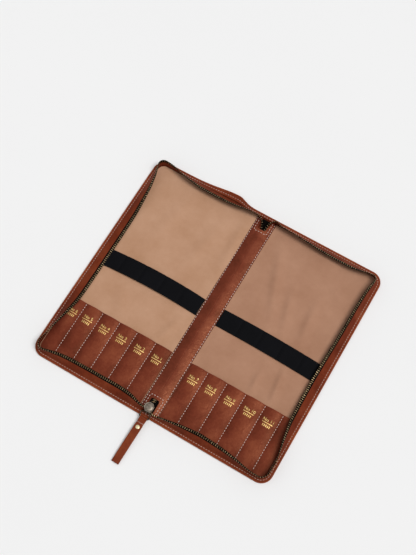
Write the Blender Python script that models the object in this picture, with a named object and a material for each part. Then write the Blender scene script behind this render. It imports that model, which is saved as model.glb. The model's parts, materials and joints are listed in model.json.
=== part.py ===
"""Zip-around leather case for straight knitting needles, lying open like a book.

Metres, +Z up. The origin is on the underside of the spine, halfway along it. +Y runs along the
spine to the back end, +X runs across to the right cover, and the pull tab hangs over the front
end. Both covers lie flat, and their zip walls lean in over the trays.
"""

from math import atan2, cos, hypot, pi, radians, sin

import bmesh
import bpy
from mathutils import Matrix, Vector

# Driving dimensions.
CASE_LENGTH = 0.400  # along the spine, edge to edge
COVER_EDGE = 0.2175  # spine centre to the outer edge of a cover
CORNER_RADIUS = 0.020  # outer corners of the covers
GAP = 0.0003  # clearance between pieces that touch

# The stack of a cover, from the table up.
LEATHER_THICK = 0.0014
BOARD_THICK = 0.0012
LINING_THICK = 0.0005
POCKET_THICK = 0.0008
ELASTIC_THICK = 0.0010
SLOT_HEIGHT = 0.0044  # room for a needle under a pocket or the elastic

# The fold lines, one each side of the spine.
HINGE_X = 0.0185
HINGE_Z = 0.0035
FOLD_ROOM = 0.0006  # from the hinge line to the nearest cover piece
SPINE_HALF = 0.0175

# The zip walls.
WALL_INSET = 0.007  # from the cover's edge in to the foot of the wall
WALL_THICK = 0.0012
WALL_PIVOT_Z = 0.0043
WALL_TOP_Z = 0.0205  # of an upright wall, at the tips of the teeth
ZIP_HEIGHT = 0.0044  # tape and teeth above the leather
TEETH_THICK = 0.0028
SIDE_WALL_HALF = 0.170  # half the length of a side wall that leans
END_WALL_OUTER = 0.185  # end walls run from here ...
END_WALL_INNER = 0.034  # ... to here
SIDE_LEAN = {"left": 80, "right": 62}  # degrees from upright, inward
FRONT_LEAN = {"left": 57, "right": 45}
BACK_LEAN = {"left": 30, "right": 38}

# Pockets and elastic.
POCKET_MOUTH_Y = -0.0878
POCKET_FOOT_Y = -0.1765
POCKET_OUTER_X = 0.1915
POCKET_INNER_X = 0.0200
SEAMS = {
    "left": (0.0487, 0.0837, 0.1169, 0.1491, 0.1807),
    "right": (0.0489, 0.0837, 0.1182, 0.1540, 0.1861),
}
SEAM_WIDTH = 0.0012
ELASTIC_MID_Y = 0.0014
ELASTIC_WIDTH = 0.0334
ELASTIC_OUTER_X = 0.1905
ELASTIC_INNER_X = 0.0215
LEAST_LOOP = 0.0060  # the elastic isn't tacked closer than this to its outer end

# The zip slider and its pull.
PULL_X = -0.0015  # the slider sits a little to the left of the middle
SLIDER_Y = -0.1855
SLIDER_WIDTH = 0.0110
SLIDER_LENGTH = 0.0130
SLIDER_FOOT_Z = 0.0045
PLATE_WIDTH = 0.0140
PLATE_Z = 0.0145
PLATE_THICK = 0.0016
RING_PIVOT_Y = -0.1938
RING_PIVOT_Z = 0.0102
RING_WIRE = 0.0009
RING_HALF = 0.0082
TAB_BAR_Y = -0.2035
TAB_BAR_Z = 0.0065
TAB_END_Y = -0.2845
TAB_WIDTH = 0.0128
TAB_THICK = 0.0024
TAB_YAW = radians(-1.6)
RIVET_REACH = 0.0165  # from the ring's bar to the rivet
RIVET_HEAD = 0.0035
RIVET_SHANK = 0.0013

HALF_LENGTH = CASE_LENGTH / 2
BOARD_Z = LEATHER_THICK + GAP
FLANGE_TOP = BOARD_Z + BOARD_THICK
LINING_Z = FLANGE_TOP + GAP
LINING_TOP = LINING_Z + LINING_THICK
POCKET_Z = LINING_TOP + SLOT_HEIGHT
COVER_START = HINGE_X + FOLD_ROOM
WALL_X = COVER_EDGE - WALL_INSET
WALL_Y = HALF_LENGTH - WALL_INSET
WALL_REACH = WALL_TOP_Z - WALL_PIVOT_Z
WALL_RADIUS = CORNER_RADIUS - WALL_INSET
SIDES = {"left": -1, "right": 1}

CHESTNUT = (0.22, 0.06, 0.03)
TAN_CLOTH = (0.47, 0.27, 0.16)
BLACK_ELASTIC = (0.008, 0.008, 0.010)
PALE_THREAD = (0.68, 0.47, 0.40)
GREY_BOARD = (0.28, 0.26, 0.23)
OLD_BRASS = (0.10, 0.08, 0.05)
OLD_NICKEL = (0.38, 0.33, 0.26)
PALE_BRASS = (0.75, 0.65, 0.42)


def clear_scene():
    for obj in list(bpy.data.objects):
        bpy.data.objects.remove(obj)


def make_object(name, mesh, colour, roughness, metallic=0.0):
    """A named sub-part with a Principled material of its own."""
    obj = bpy.data.objects.new(name, mesh)
    bpy.context.scene.collection.objects.link(obj)
    material = bpy.data.materials.new(name)
    material.use_nodes = True
    shader = material.node_tree.nodes["Principled BSDF"]
    shader.inputs["Base Color"].default_value = (*colour, 1.0)
    shader.inputs["Roughness"].default_value = roughness
    shader.inputs["Metallic"].default_value = metallic
    mesh.materials.append(material)
    return obj


def finish_mesh(bm, name):
    bmesh.ops.recalc_face_normals(bm, faces=bm.faces)
    mesh = bpy.data.meshes.new(name)
    bm.to_mesh(mesh)
    bm.free()
    return mesh


def extruded(name, outline, depth):
    """A flat outline of 3-D points, extruded by the depth vector."""
    bm = bmesh.new()
    face = bm.faces.new([bm.verts.new(point) for point in outline])
    swept = bmesh.ops.extrude_face_region(bm, geom=[face])
    moved = [item for item in swept["geom"] if isinstance(item, bmesh.types.BMVert)]
    bmesh.ops.translate(bm, verts=moved, vec=depth)
    return finish_mesh(bm, name)


def slab(name, outline, low, high):
    """An outline in the XY plane, from height low to height high."""
    return extruded(name, [(x, y, low) for x, y in outline], (0, 0, high - low))


def box_outline(x0, y0, x1, y1):
    return [(x0, y0), (x1, y0), (x1, y1), (x0, y1)]


def arc(centre, radius, start, end, steps):
    """Points along an arc, angles in degrees."""
    angles = [radians(start + (end - start) * i / steps) for i in range(steps + 1)]
    return [(centre[0] + radius * cos(a), centre[1] + radius * sin(a)) for a in angles]


def mirrored(outline, sign):
    return [(sign * x, y) for x, y in outline]


def cover_outline(sign, inner_x, inset):
    """A cover seen from above: square at the spine, rounded at the outer corners."""
    radius = CORNER_RADIUS - min(inset, CORNER_RADIUS - 0.004)
    edge_x = COVER_EDGE - inset
    edge_y = HALF_LENGTH - inset
    outline = [(inner_x, -edge_y)]
    outline += arc((edge_x - radius, radius - edge_y), radius, -90, 0, 8)
    outline += arc((edge_x - radius, edge_y - radius), radius, 0, 90, 8)
    outline += [(inner_x, edge_y)]
    return mirrored(outline, sign)


def flange_outline(sign):
    """The gusset's foot: a band round three sides, open towards the spine."""
    band = WALL_INSET + 0.0015
    outer = cover_outline(1, COVER_START, 0)
    inner = cover_outline(1, COVER_START, band)
    return mirrored(outer + inner[::-1], sign)


def make_cover(side, sign):
    name = side + "_cover_leather"
    outline = cover_outline(sign, COVER_START, 0)
    make_object(name, slab(name, outline, 0, LEATHER_THICK), CHESTNUT, 0.45)
    name = side + "_cover_board"
    outline = cover_outline(sign, COVER_START + 0.003, 0.0095)
    make_object(name, slab(name, outline, BOARD_Z, FLANGE_TOP), GREY_BOARD, 0.9)
    name = side + "_gusset_flange"
    outline = flange_outline(sign)
    make_object(name, slab(name, outline, BOARD_Z, FLANGE_TOP), CHESTNUT, 0.45)
    name = side + "_lining"
    outline = cover_outline(sign, COVER_START, 0.009)
    make_object(name, slab(name, outline, LINING_Z, LINING_TOP), TAN_CLOTH, 0.85)


def make_pocket(side, sign):
    """The pocket leather and the stitched seams that divide it into needle slots."""
    name = side + "_pocket_panel"
    corners = (POCKET_INNER_X, POCKET_FOOT_Y, POCKET_OUTER_X, POCKET_MOUTH_Y)
    outline = mirrored(box_outline(*corners), sign)
    top = POCKET_Z + POCKET_THICK
    make_object(name, slab(name, outline, POCKET_Z, top), CHESTNUT, 0.4)
    for number, x in enumerate(SEAMS[side], 1):
        name = f"{side}_pocket_seam_{number}"
        half = SEAM_WIDTH / 2
        corners = (x - half, POCKET_FOOT_Y, x + half, POCKET_MOUTH_Y - 0.001)
        outline = mirrored(box_outline(*corners), sign)
        seam = slab(name, outline, LINING_TOP + GAP, POCKET_Z - GAP)
        make_object(name, seam, PALE_THREAD, 0.7)


def make_elastic(side, sign):
    """The elastic runs over the needles and is tacked down between them."""
    low = LINING_TOP + GAP
    under = POCKET_Z
    top = under + ELASTIC_THICK
    half = SEAM_WIDTH / 2
    legs = [x for x in SEAMS[side] if x + LEAST_LOOP < ELASTIC_OUTER_X]
    outline = [(ELASTIC_INNER_X, top), (ELASTIC_INNER_X, low)]
    outline += [(ELASTIC_INNER_X + SEAM_WIDTH, low), (ELASTIC_INNER_X + SEAM_WIDTH, under)]
    for x in legs:
        outline += [(x - half, under), (x - half, low), (x + half, low), (x + half, under)]
    outline += [(ELASTIC_OUTER_X - SEAM_WIDTH, under), (ELASTIC_OUTER_X - SEAM_WIDTH, low)]
    outline += [(ELASTIC_OUTER_X, low), (ELASTIC_OUTER_X, top)]
    front = ELASTIC_MID_Y - ELASTIC_WIDTH / 2
    points = [(sign * x, front, z) for x, z in outline]
    name = side + "_elastic_band"
    make_object(name, extruded(name, points, (0, ELASTIC_WIDTH, 0)), BLACK_ELASTIC, 0.8)


def leaning_panel(name, foot, along, inward, lean, low, high, thick, colour, roughness, metal):
    """A strip of wall from low to high above its foot line, leaning inward by lean degrees.

    foot is one end of the foot line, along its whole run, and inward the level unit vector
    into the tray. The object's origin is on the foot line, which is the wall's hinge axis.
    """
    rise = Vector((0, 0, cos(radians(lean)))) + Vector(inward) * sin(radians(lean))
    across = Vector(along).normalized().cross(rise) * thick / 2
    outline = [rise * low - across, rise * low + across, rise * high + across, rise * high - across]
    obj = make_object(name, extruded(name, outline, along), colour, roughness, metal)
    obj.location = foot
    return obj


def make_wall(side, place, foot, along, inward, lean):
    """One leaning wall: the leather gusset, and the zip's tape and teeth along its top."""
    step = WALL_REACH - ZIP_HEIGHT
    shape = (foot, along, inward, lean)
    gusset = (GAP, step - GAP, WALL_THICK, CHESTNUT, 0.45, 0.0)
    leaning_panel(f"{side}_{place}_gusset", *shape, *gusset)
    zip_row = (step, WALL_REACH, TEETH_THICK, OLD_BRASS, 0.4, 1.0)
    leaning_panel(f"{side}_{place}_zip", *shape, *zip_row)


def make_walls(side, sign):
    foot = (sign * WALL_X, -SIDE_WALL_HALF, WALL_PIVOT_Z)
    along = (0, 2 * SIDE_WALL_HALF, 0)
    make_wall(side, "side", foot, along, (-sign, 0, 0), SIDE_LEAN[side])
    along = (sign * (END_WALL_OUTER - END_WALL_INNER), 0, 0)
    foot = (sign * END_WALL_INNER, -WALL_Y, WALL_PIVOT_Z)
    make_wall(side, "front", foot, along, (0, 1, 0), FRONT_LEAN[side])
    foot = (sign * END_WALL_INNER, WALL_Y, WALL_PIVOT_Z)
    make_wall(side, "back", foot, along, (0, -1, 0), BACK_LEAN[side])


def corner_outline(sign, end, thick):
    """The wall round a cover's corner: an arc with a short straight stretch at each end."""
    centre = (WALL_X - WALL_RADIUS, WALL_RADIUS - WALL_Y)
    outline = []
    for radius, turn in ((WALL_RADIUS + thick / 2, 1), (WALL_RADIUS - thick / 2, -1)):
        edge = arc(centre, radius, -90, 0, 8)
        edge.insert(0, (END_WALL_OUTER + GAP, edge[0][1]))
        edge.append((edge[-1][0], -SIDE_WALL_HALF - GAP))
        outline += edge[::turn]
    return [(sign * x, y if end == "front" else -y) for x, y in outline]


def make_corners(side, sign):
    """The upright stretches of wall at the two outer corners."""
    step = WALL_TOP_Z - ZIP_HEIGHT
    for end in ("front", "back"):
        name = f"{side}_{end}_corner_gusset"
        outline = corner_outline(sign, end, WALL_THICK)
        make_object(name, slab(name, outline, LINING_Z, step - GAP), CHESTNUT, 0.45)
        name = f"{side}_{end}_corner_zip"
        outline = corner_outline(sign, end, TEETH_THICK)
        make_object(name, slab(name, outline, step, WALL_TOP_Z), OLD_BRASS, 0.4, 1.0)


def strip_outline():
    """The strip inside the spine, with a round-cornered notch at each end for the zip's tails."""
    half_notch = 0.0085
    radius = 0.005
    end_y = WALL_Y - 0.0020
    front_notch = -0.168
    back_notch = 0.170
    outline = [(-SPINE_HALF, -end_y), (-half_notch, -end_y)]
    outline += arc((radius - half_notch, front_notch - radius), radius, 180, 90, 5)
    outline += arc((half_notch - radius, front_notch - radius), radius, 90, 0, 5)
    outline += [(half_notch, -end_y), (SPINE_HALF, -end_y)]
    outline += [(SPINE_HALF, end_y), (half_notch, end_y)]
    outline += arc((half_notch - radius, back_notch + radius), radius, 0, -90, 5)
    outline += arc((radius - half_notch, back_notch + radius), radius, -90, -180, 5)
    outline += [(-half_notch, end_y), (-SPINE_HALF, end_y)]
    return outline


def make_spine():
    name = "spine_leather"
    outline = box_outline(-SPINE_HALF, -HALF_LENGTH, SPINE_HALF, HALF_LENGTH)
    make_object(name, slab(name, outline, 0, LEATHER_THICK), CHESTNUT, 0.45)
    name = "spine_stiffener"
    outline = box_outline(-0.0135, -0.162, 0.0135, 0.162)
    make_object(name, slab(name, outline, BOARD_Z, BOARD_Z + 0.001), GREY_BOARD, 0.9)
    name = "spine_inner_strip"
    inner = slab(name, strip_outline(), BOARD_Z + 0.0013, BOARD_Z + 0.0023)
    make_object(name, inner, CHESTNUT, 0.35)
    for end, sign in (("front", -1), ("back", 1)):
        name = end + "_edge_band"
        edge, inner_edge = sign * HALF_LENGTH, sign * (WALL_Y - 0.0009)
        outline = box_outline(-SPINE_HALF, edge, SPINE_HALF, inner_edge)
        make_object(name, slab(name, outline, BOARD_Z, FLANGE_TOP), CHESTNUT, 0.45)


def make_zip_tails():
    """The short runs of zip between the spine's notches and the covers' walls."""
    half = TEETH_THICK / 2
    for end, end_sign in (("front", -1), ("back", 1)):
        for side, sign in SIDES.items():
            clear = 0.0112 if side == "left" else 0.0085
            name = f"{end}_{side}_zip_tail"
            middle = end_sign * WALL_Y
            corners = (sign * clear, middle - half, sign * 0.0165, middle + half)
            tail = slab(name, box_outline(*corners), LINING_Z, 0.0132)
            make_object(name, tail, OLD_BRASS, 0.4, 1.0)


def make_slider():
    """The zip's slider: two plates joined by a web, a lug for the ring, and its top plate."""
    name = "zip_slider"
    half, web, foot = SLIDER_WIDTH / 2, 0.0015, SLIDER_FOOT_Z
    head = PLATE_Z - GAP
    profile = [(-half, foot), (half, foot), (half, foot + 0.0018), (web, foot + 0.0018)]
    profile += [(web, foot + 0.0045), (half, foot + 0.0045), (half, foot + 0.0065)]
    profile += [(0.0025, foot + 0.0065), (0.0025, head), (-0.0025, head)]
    profile += [(-0.0025, foot + 0.0065), (-half, foot + 0.0065), (-half, foot + 0.0045)]
    profile += [(-web, foot + 0.0045), (-web, foot + 0.0018), (-half, foot + 0.0018)]
    start = SLIDER_Y - SLIDER_LENGTH / 2
    points = [(PULL_X + x, start, z) for x, z in profile]
    body = extruded(name, points, (0, SLIDER_LENGTH, 0))
    make_object(name, body, OLD_NICKEL, 0.35, 1.0)

    name = "slider_lug"
    outer, nose = 0.0022, start - GAP
    loop = arc((RING_PIVOT_Y, RING_PIVOT_Z), outer, 90, 270, 8)
    loop += [(nose, RING_PIVOT_Z - outer), (nose, RING_PIVOT_Z + outer)]
    points = [(PULL_X - 0.0017, y, z) for y, z in loop]
    lug = make_object(name, extruded(name, points, (0.0034, 0, 0)), OLD_NICKEL, 0.35, 1.0)
    bore(lug, (PULL_X, RING_PIVOT_Y, RING_PIVOT_Z), RING_WIRE + 0.0003, 0.01)

    name = "slider_plate"
    bm = bmesh.new()
    radius = PLATE_WIDTH / 2 / cos(pi / 8)
    size = {"radius1": radius, "radius2": radius, "depth": PLATE_THICK}
    bmesh.ops.create_cone(bm, cap_ends=True, segments=8, matrix=Matrix.Rotation(pi / 8, 4, "Z"), **size)
    plate = make_object(name, finish_mesh(bm, name), OLD_NICKEL, 0.3, 1.0)
    plate.location = (PULL_X, SLIDER_Y, PLATE_Z + PLATE_THICK / 2)
    soften = plate.modifiers.new("Bevel", "BEVEL")
    soften.width = 0.0005
    soften.segments = 2


def bore(obj, centre, radius, length):
    """Cuts a round hole along X."""
    bm = bmesh.new()
    size = {"radius1": radius, "radius2": radius, "depth": length}
    bmesh.ops.create_cone(bm, cap_ends=True, segments=20, matrix=Matrix.Rotation(pi / 2, 4, "Y"), **size)
    cutter = bpy.data.objects.new(obj.name + "_cutter", finish_mesh(bm, obj.name + "_cutter"))
    bpy.context.scene.collection.objects.link(cutter)
    cutter.location = centre
    cutter.hide_render = True
    cutter.display_type = "WIRE"
    cut = obj.modifiers.new("Bore", "BOOLEAN")
    cut.operation = "DIFFERENCE"
    cut.object = cutter
    return cutter


def make_ring():
    """The wire loop: its back bar turns in the slider's lug, and its front bar holds the tab."""
    reach = hypot(RING_PIVOT_Y - TAB_BAR_Y, RING_PIVOT_Z - TAB_BAR_Z)
    droop = atan2(RING_PIVOT_Z - TAB_BAR_Z, RING_PIVOT_Y - TAB_BAR_Y)
    radius = 0.0013
    x, back, front = RING_HALF - radius, -radius, radius - reach
    path = arc((x, back), radius, 0, 90, 4) + arc((-x, back), radius, 90, 180, 4)
    path += arc((-x, front), radius, 180, 270, 4) + arc((x, front), radius, 270, 360, 4)
    curve = bpy.data.curves.new("pull_ring", "CURVE")
    curve.dimensions = "3D"
    curve.bevel_depth = RING_WIRE
    curve.bevel_resolution = 2
    spline = curve.splines.new("POLY")
    spline.points.add(len(path) - 1)
    for point, (px, py) in zip(spline.points, path):
        point.co = (px, py, 0, 1)
    spline.use_cyclic_u = True
    ring = make_object("pull_ring", curve, OLD_BRASS, 0.4, 1.0)
    ring.location = (PULL_X, RING_PIVOT_Y, RING_PIVOT_Z)
    ring.rotation_euler = (droop, 0, 0)


def make_tab():
    """The leather pull: an eye round the ring's bar and a flat strap down to the table."""
    eye = TAB_THICK / 2 + 0.0013
    droop = atan2(TAB_BAR_Z - TAB_THICK / 2 - GAP, TAB_BAR_Y - TAB_END_Y)
    reach = hypot(TAB_BAR_Z - TAB_THICK / 2 - GAP, TAB_BAR_Y - TAB_END_Y)
    half = TAB_THICK / 2
    loop = arc((0, 0), eye, -150, 150, 16)
    outline = [(-reach, half), (-reach, -half), *loop]
    name = "pull_tab"
    points = [(-TAB_WIDTH / 2, y, z) for y, z in outline]
    tab = make_object(name, extruded(name, points, (TAB_WIDTH, 0, 0)), CHESTNUT, 0.45)
    place = Matrix.Translation((PULL_X, TAB_BAR_Y, TAB_BAR_Z))
    place = place @ Matrix.Rotation(TAB_YAW, 4, "Z") @ Matrix.Rotation(droop, 4, "X")
    tab.matrix_world = place
    cutter = bore(tab, (0, 0, 0), RING_WIRE + 0.0007, 0.03)
    cutter.matrix_world = Matrix.Translation((PULL_X, TAB_BAR_Y, TAB_BAR_Z))

    name = "tab_rivet"
    cap, stem = half + GAP, half + GAP + 0.0008
    profile = [(0, stem), (RIVET_HEAD * 0.7, stem), (RIVET_HEAD, cap + 0.0003), (RIVET_HEAD, cap)]
    profile += [(RIVET_SHANK, cap), (RIVET_SHANK, -cap), (RIVET_HEAD, -cap)]
    profile += [(RIVET_HEAD, -cap - 0.0003), (RIVET_HEAD * 0.7, -stem), (0, -stem)]
    rivet = make_object(name, turned(name, profile), PALE_BRASS, 0.25, 1.0)
    rivet.matrix_world = place @ Matrix.Translation((0, -RIVET_REACH, 0))
    hole = RIVET_SHANK + GAP
    profile = [(0, 0.004), (hole, 0.004), (hole, -0.004), (0, -0.004)]
    cutter = bpy.data.objects.new("rivet_hole_cutter", turned("rivet_hole_cutter", profile))
    bpy.context.scene.collection.objects.link(cutter)
    cutter.matrix_world = rivet.matrix_world
    cutter.hide_render = True
    cutter.display_type = "WIRE"
    cut = tab.modifiers.new("Rivet hole", "BOOLEAN")
    cut.operation = "DIFFERENCE"
    cut.object = cutter


def turned(name, profile):
    """A profile of (radius, height) points turned about Z."""
    bm = bmesh.new()
    verts = [bm.verts.new((r, 0, z)) for r, z in profile]
    edges = [bm.edges.new(pair) for pair in zip(verts, verts[1:])]
    whole_turn = {"axis": (0, 0, 1), "cent": (0, 0, 0), "angle": 2 * pi, "steps": 16}
    bmesh.ops.spin(bm, geom=verts + edges, **whole_turn)
    bmesh.ops.remove_doubles(bm, verts=bm.verts, dist=1e-6)
    return finish_mesh(bm, name)


def main():
    clear_scene()
    make_spine()
    make_zip_tails()
    for side, sign in SIDES.items():
        make_cover(side, sign)
        make_pocket(side, sign)
        make_elastic(side, sign)
        make_walls(side, sign)
        make_corners(side, sign)
    make_slider()
    make_ring()
    make_tab()


main()
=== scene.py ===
# %% [markdown]
# # A zip-around leather case for knitting needles
# The case lies open like a book: two stiff covers joined by a soft spine, and each cover is a shallow tray.
# A leather wall goes round three sides of each tray and carries half of a metal zip. At the front of each
# tray is a leather panel sewn into six long slots, and a black elastic holds the needles across the middle.
# The CAD frame gives every size and every hinge, so it is loaded first, and all the pieces below are built
# round it, in metres.

# %% Load the frame
import json

import bpy
import numpy as np
from mathutils import Matrix, Vector, noise


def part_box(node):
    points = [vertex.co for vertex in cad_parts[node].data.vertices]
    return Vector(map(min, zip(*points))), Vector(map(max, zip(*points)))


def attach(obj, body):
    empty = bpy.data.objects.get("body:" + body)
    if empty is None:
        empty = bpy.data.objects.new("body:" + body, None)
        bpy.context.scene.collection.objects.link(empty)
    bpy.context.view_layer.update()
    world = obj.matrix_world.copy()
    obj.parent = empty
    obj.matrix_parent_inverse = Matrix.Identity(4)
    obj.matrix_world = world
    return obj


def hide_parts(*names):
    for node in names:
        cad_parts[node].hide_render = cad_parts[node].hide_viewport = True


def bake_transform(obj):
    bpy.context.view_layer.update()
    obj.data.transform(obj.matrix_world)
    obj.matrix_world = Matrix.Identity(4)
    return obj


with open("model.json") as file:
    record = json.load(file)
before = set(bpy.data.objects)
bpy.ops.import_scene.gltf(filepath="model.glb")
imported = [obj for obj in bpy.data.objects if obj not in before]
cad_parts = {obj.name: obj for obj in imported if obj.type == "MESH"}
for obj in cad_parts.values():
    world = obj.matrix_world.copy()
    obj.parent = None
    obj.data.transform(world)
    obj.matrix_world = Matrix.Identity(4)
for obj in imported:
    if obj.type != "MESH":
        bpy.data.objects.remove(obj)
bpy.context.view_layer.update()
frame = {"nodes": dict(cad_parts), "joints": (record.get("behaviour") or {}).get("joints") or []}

JOINTS = {joint["name"]: joint for joint in frame["joints"]}
SIDES = {"left": -1, "right": 1}

# %% [markdown]
# ## Camera, floor and light
# The case is seen from above and a little from the front right, with a long lens. The camera comes first
# because every later comparison depends on it. A camera can be aimed with a Track To constraint, but three
# directions give it exactly: to the right, ahead, and their cross product, which is up.

# %% Camera
def start_from(operator, name, **settings):
    """Adds one thing by its operator while nothing else is selected, and names it."""
    bpy.ops.object.select_all(action="DESELECT")
    operator(**settings)
    item = bpy.context.object
    item.name = item.data.name = name
    return item


CAMERA_PLACE = (0.2698, -0.4693, 1.5882)
LENS_MM, SENSOR_MM = 66.6, 36.0
RIGHT = Vector((0.8622, 0.5067, 0.0013)).normalized()
AHEAD = Vector((-0.1793, 0.3075, -0.9345)).normalized()
UP = RIGHT.cross(AHEAD)
camera = start_from(bpy.ops.object.camera_add, "Camera", location=CAMERA_PLACE)
camera.rotation_euler = Matrix((RIGHT, UP, -AHEAD)).transposed().to_euler()
camera.data.lens, camera.data.sensor_width = LENS_MM, SENSOR_MM
bpy.context.scene.camera = camera
bpy.context.scene.view_settings.view_transform = "Standard"
print("camera looks along", [round(part, 3) for part in AHEAD])

# %% [markdown]
# ### Colours and nodes
# A hex colour says what the eye sees, but a shader counts light, so one function turns one into the other.
# Nodes can be wired by hand in the Shader Editor. In a script, one function that adds a node together with
# its settings and links keeps each material short enough to read.

# %% Colours and nodes
def srgb(code):
    """A hex colour as the eye sees it, turned into the linear numbers that light is counted in."""
    parts = [int(code[at:at + 2], 16) / 255 for at in (1, 3, 5)]
    linear = [part / 12.92 if part <= 0.04045 else ((part + 0.055) / 1.055) ** 2.4 for part in parts]
    return (*linear, 1.0)


def add_node(material, kind, settings=None, sockets=None):
    """Adds one node. A socket takes a plain value, or the output of another node, which is linked."""
    node = material.node_tree.nodes.new(kind)
    for name, value in (settings or {}).items():
        setattr(node, name, value)
    for name, value in (sockets or {}).items():
        if isinstance(value, bpy.types.NodeSocket):
            material.node_tree.links.new(value, node.inputs[name])
        else:
            node.inputs[name].default_value = value
    return node


def new_material(name, **sockets):
    """A material with one Principled shader, and its plain numbers set on the shader itself."""
    material = bpy.data.materials.new(name)
    material.use_nodes = True
    shader = material.node_tree.nodes["Principled BSDF"]
    for socket, value in sockets.items():
        shader.inputs[socket.replace("_", " ")].default_value = value
    return material, shader


def wire(material, shader, **outputs):
    """Links the outputs of nodes to the shader's own sockets."""
    for socket, output in outputs.items():
        material.node_tree.links.new(output, shader.inputs[socket.replace("_", " ")])


print("middle grey as a linear number:", round(srgb("#808080")[0], 3))

# %% [markdown]
# ### Floor and lights
# The case lies on matt white paper. Two sun lamps stand for large softboxes: a sun with a wide angle throws
# the same soft shadow everywhere, which an area lamp close by wouldn't. The key comes from the right, low
# enough that the folds of the cloth and the slots show, and the fill is weak so that it leaves them alone.

# %% Floor and lights
FLOOR_GAP = 0.0007  # the stitches under the leather stand on the floor, and the leather just above it
FLOOR_SIZE = 120  # so wide that its rim is never seen
paper, paper_shader = new_material("matt_white_paper", Roughness=0.95, Specular_IOR_Level=0.1)
paper_place = add_node(paper, "ShaderNodeTexCoord").outputs["Object"]
paper_spots = add_node(paper, "ShaderNodeTexNoise", {}, {"Vector": paper_place, "Scale": 3.0})
paper_tone = add_node(paper, "ShaderNodeMix", {"data_type": "RGBA"}, {
    "Factor": paper_spots.outputs["Fac"], "A": srgb("#f1f1f1"), "B": srgb("#f3f3f3")})
wire(paper, paper_shader, Base_Color=paper_tone.outputs["Result"])
floor = start_from(
    bpy.ops.mesh.primitive_plane_add, "floor", size=FLOOR_SIZE, location=(0, 0, -FLOOR_GAP))
floor.data.materials.append(paper)

world = bpy.data.worlds.new("soft_room")
bpy.context.scene.world = world
world.use_nodes = True
room_light = world.node_tree.nodes["Background"]
room_light.inputs["Color"].default_value = srgb("#ffffff")
room_light.inputs["Strength"].default_value = 0.36


def soft_lamp(name, come_from, strength, spread_degrees):
    """A far, wide lamp: its light comes from one direction, evenly over the whole floor."""
    lamp = start_from(bpy.ops.object.light_add, name, type="SUN", location=Vector(come_from) * 3)
    lamp.data.energy = strength
    lamp.data.angle = np.radians(spread_degrees)
    lamp.rotation_euler = Vector(come_from).to_track_quat("Z", "Y").to_euler()


soft_lamp("key_softbox", (0.42, 0.06, 0.90), 2.05, 30)
soft_lamp("fill_softbox", (-0.50, -0.20, 0.84), 0.18, 60)
print("lamps:", [item.name for item in bpy.data.lights])

# %% [markdown]
# ## Leather, cloth and metal
# The case is glazed cowhide: dyed a chestnut brown, plated smooth and finished with a thin shellac. The eye
# gets a fine grain, cloudy changes of brown where the dye went in unevenly, and a soft broad shine. The
# grain could be displaced, but it is a tenth of a millimetre deep, so bump is enough. All the patterns
# read Object coordinates, which are metres here, so a scale of 1 / size draws cells of that size.

# %% Glazed cowhide
def glazed_cowhide(name, deep, middle, light, roughness, gloss, grain=0.0016):
    """Leather: three browns in soft clouds, fine pores, a pebble grain and shallow wrinkles.

    A piece may carry an attribute of painted light and shade: above 0 where it is painted lighter, below 0
    where it is painted darker.
    """
    material, shader = new_material(name, Roughness=roughness, IOR=1.5, Specular_IOR_Level=gloss)
    shader.inputs["Specular Tint"].default_value = srgb("#e59a70")
    place = add_node(material, "ShaderNodeTexCoord").outputs["Object"]
    clouds = add_node(material, "ShaderNodeTexNoise", {}, {
        "Vector": place, "Scale": 1 / 0.045, "Detail": 5.0, "Roughness": 0.62})
    specks = add_node(material, "ShaderNodeTexNoise", {}, {
        "Vector": place, "Scale": 1 / 0.004, "Detail": 3.0, "Roughness": 0.7})
    mixed = add_node(material, "ShaderNodeMath", {"operation": "MULTIPLY_ADD"}, {
        0: specks.outputs["Fac"], 1: 0.35, 2: clouds.outputs["Fac"]})
    # Painted light and shade: this attribute lightens painted highlights and darkens painted shade in the
    # browns.
    rub = add_node(material, "ShaderNodeAttribute", {"attribute_name": "rub"})
    mixed = add_node(material, "ShaderNodeMath", {"operation": "MULTIPLY_ADD"}, {
        0: rub.outputs["Fac"], 1: 0.7, 2: mixed.outputs[0]})
    browns = add_node(material, "ShaderNodeValToRGB", {}, {"Fac": mixed.outputs[0]})
    ramp = browns.color_ramp
    ramp.elements[0].position, ramp.elements[0].color = 0.33, srgb(deep)
    ramp.elements[1].position, ramp.elements[1].color = 1.0, srgb(light)
    ramp.elements.new(0.67).color = srgb(middle)
    wire(material, shader, Base_Color=browns.outputs["Color"])
    worn = add_node(material, "ShaderNodeMapRange", {}, {
        "Value": mixed.outputs[0], "From Min": 0.4, "From Max": 0.95, "To Min": roughness + 0.1,
        "To Max": roughness - 0.08})
    wire(material, shader, Roughness=worn.outputs["Result"])
    # Real pores are 0.2 mm apart, too fine to show from here, so the cells are drawn several times wider.
    pebbles = add_node(material, "ShaderNodeTexVoronoi", {"feature": "SMOOTH_F1"}, {
        "Vector": place, "Scale": 1 / grain, "Smoothness": 0.6})
    wrinkles = add_node(material, "ShaderNodeTexNoise", {}, {
        "Vector": place, "Scale": 1 / 0.009, "Detail": 4.0, "Distortion": 0.8})
    soft = add_node(material, "ShaderNodeBump", {}, {
        "Strength": 0.5, "Distance": 0.0012, "Height": wrinkles.outputs["Fac"]})
    fine = add_node(material, "ShaderNodeBump", {"invert": True}, {
        "Strength": 0.3, "Distance": 0.0003, "Height": pebbles.outputs["Distance"],
        "Normal": soft.outputs["Normal"]})
    wire(material, shader, Normal=fine.outputs["Normal"])
    return material


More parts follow.
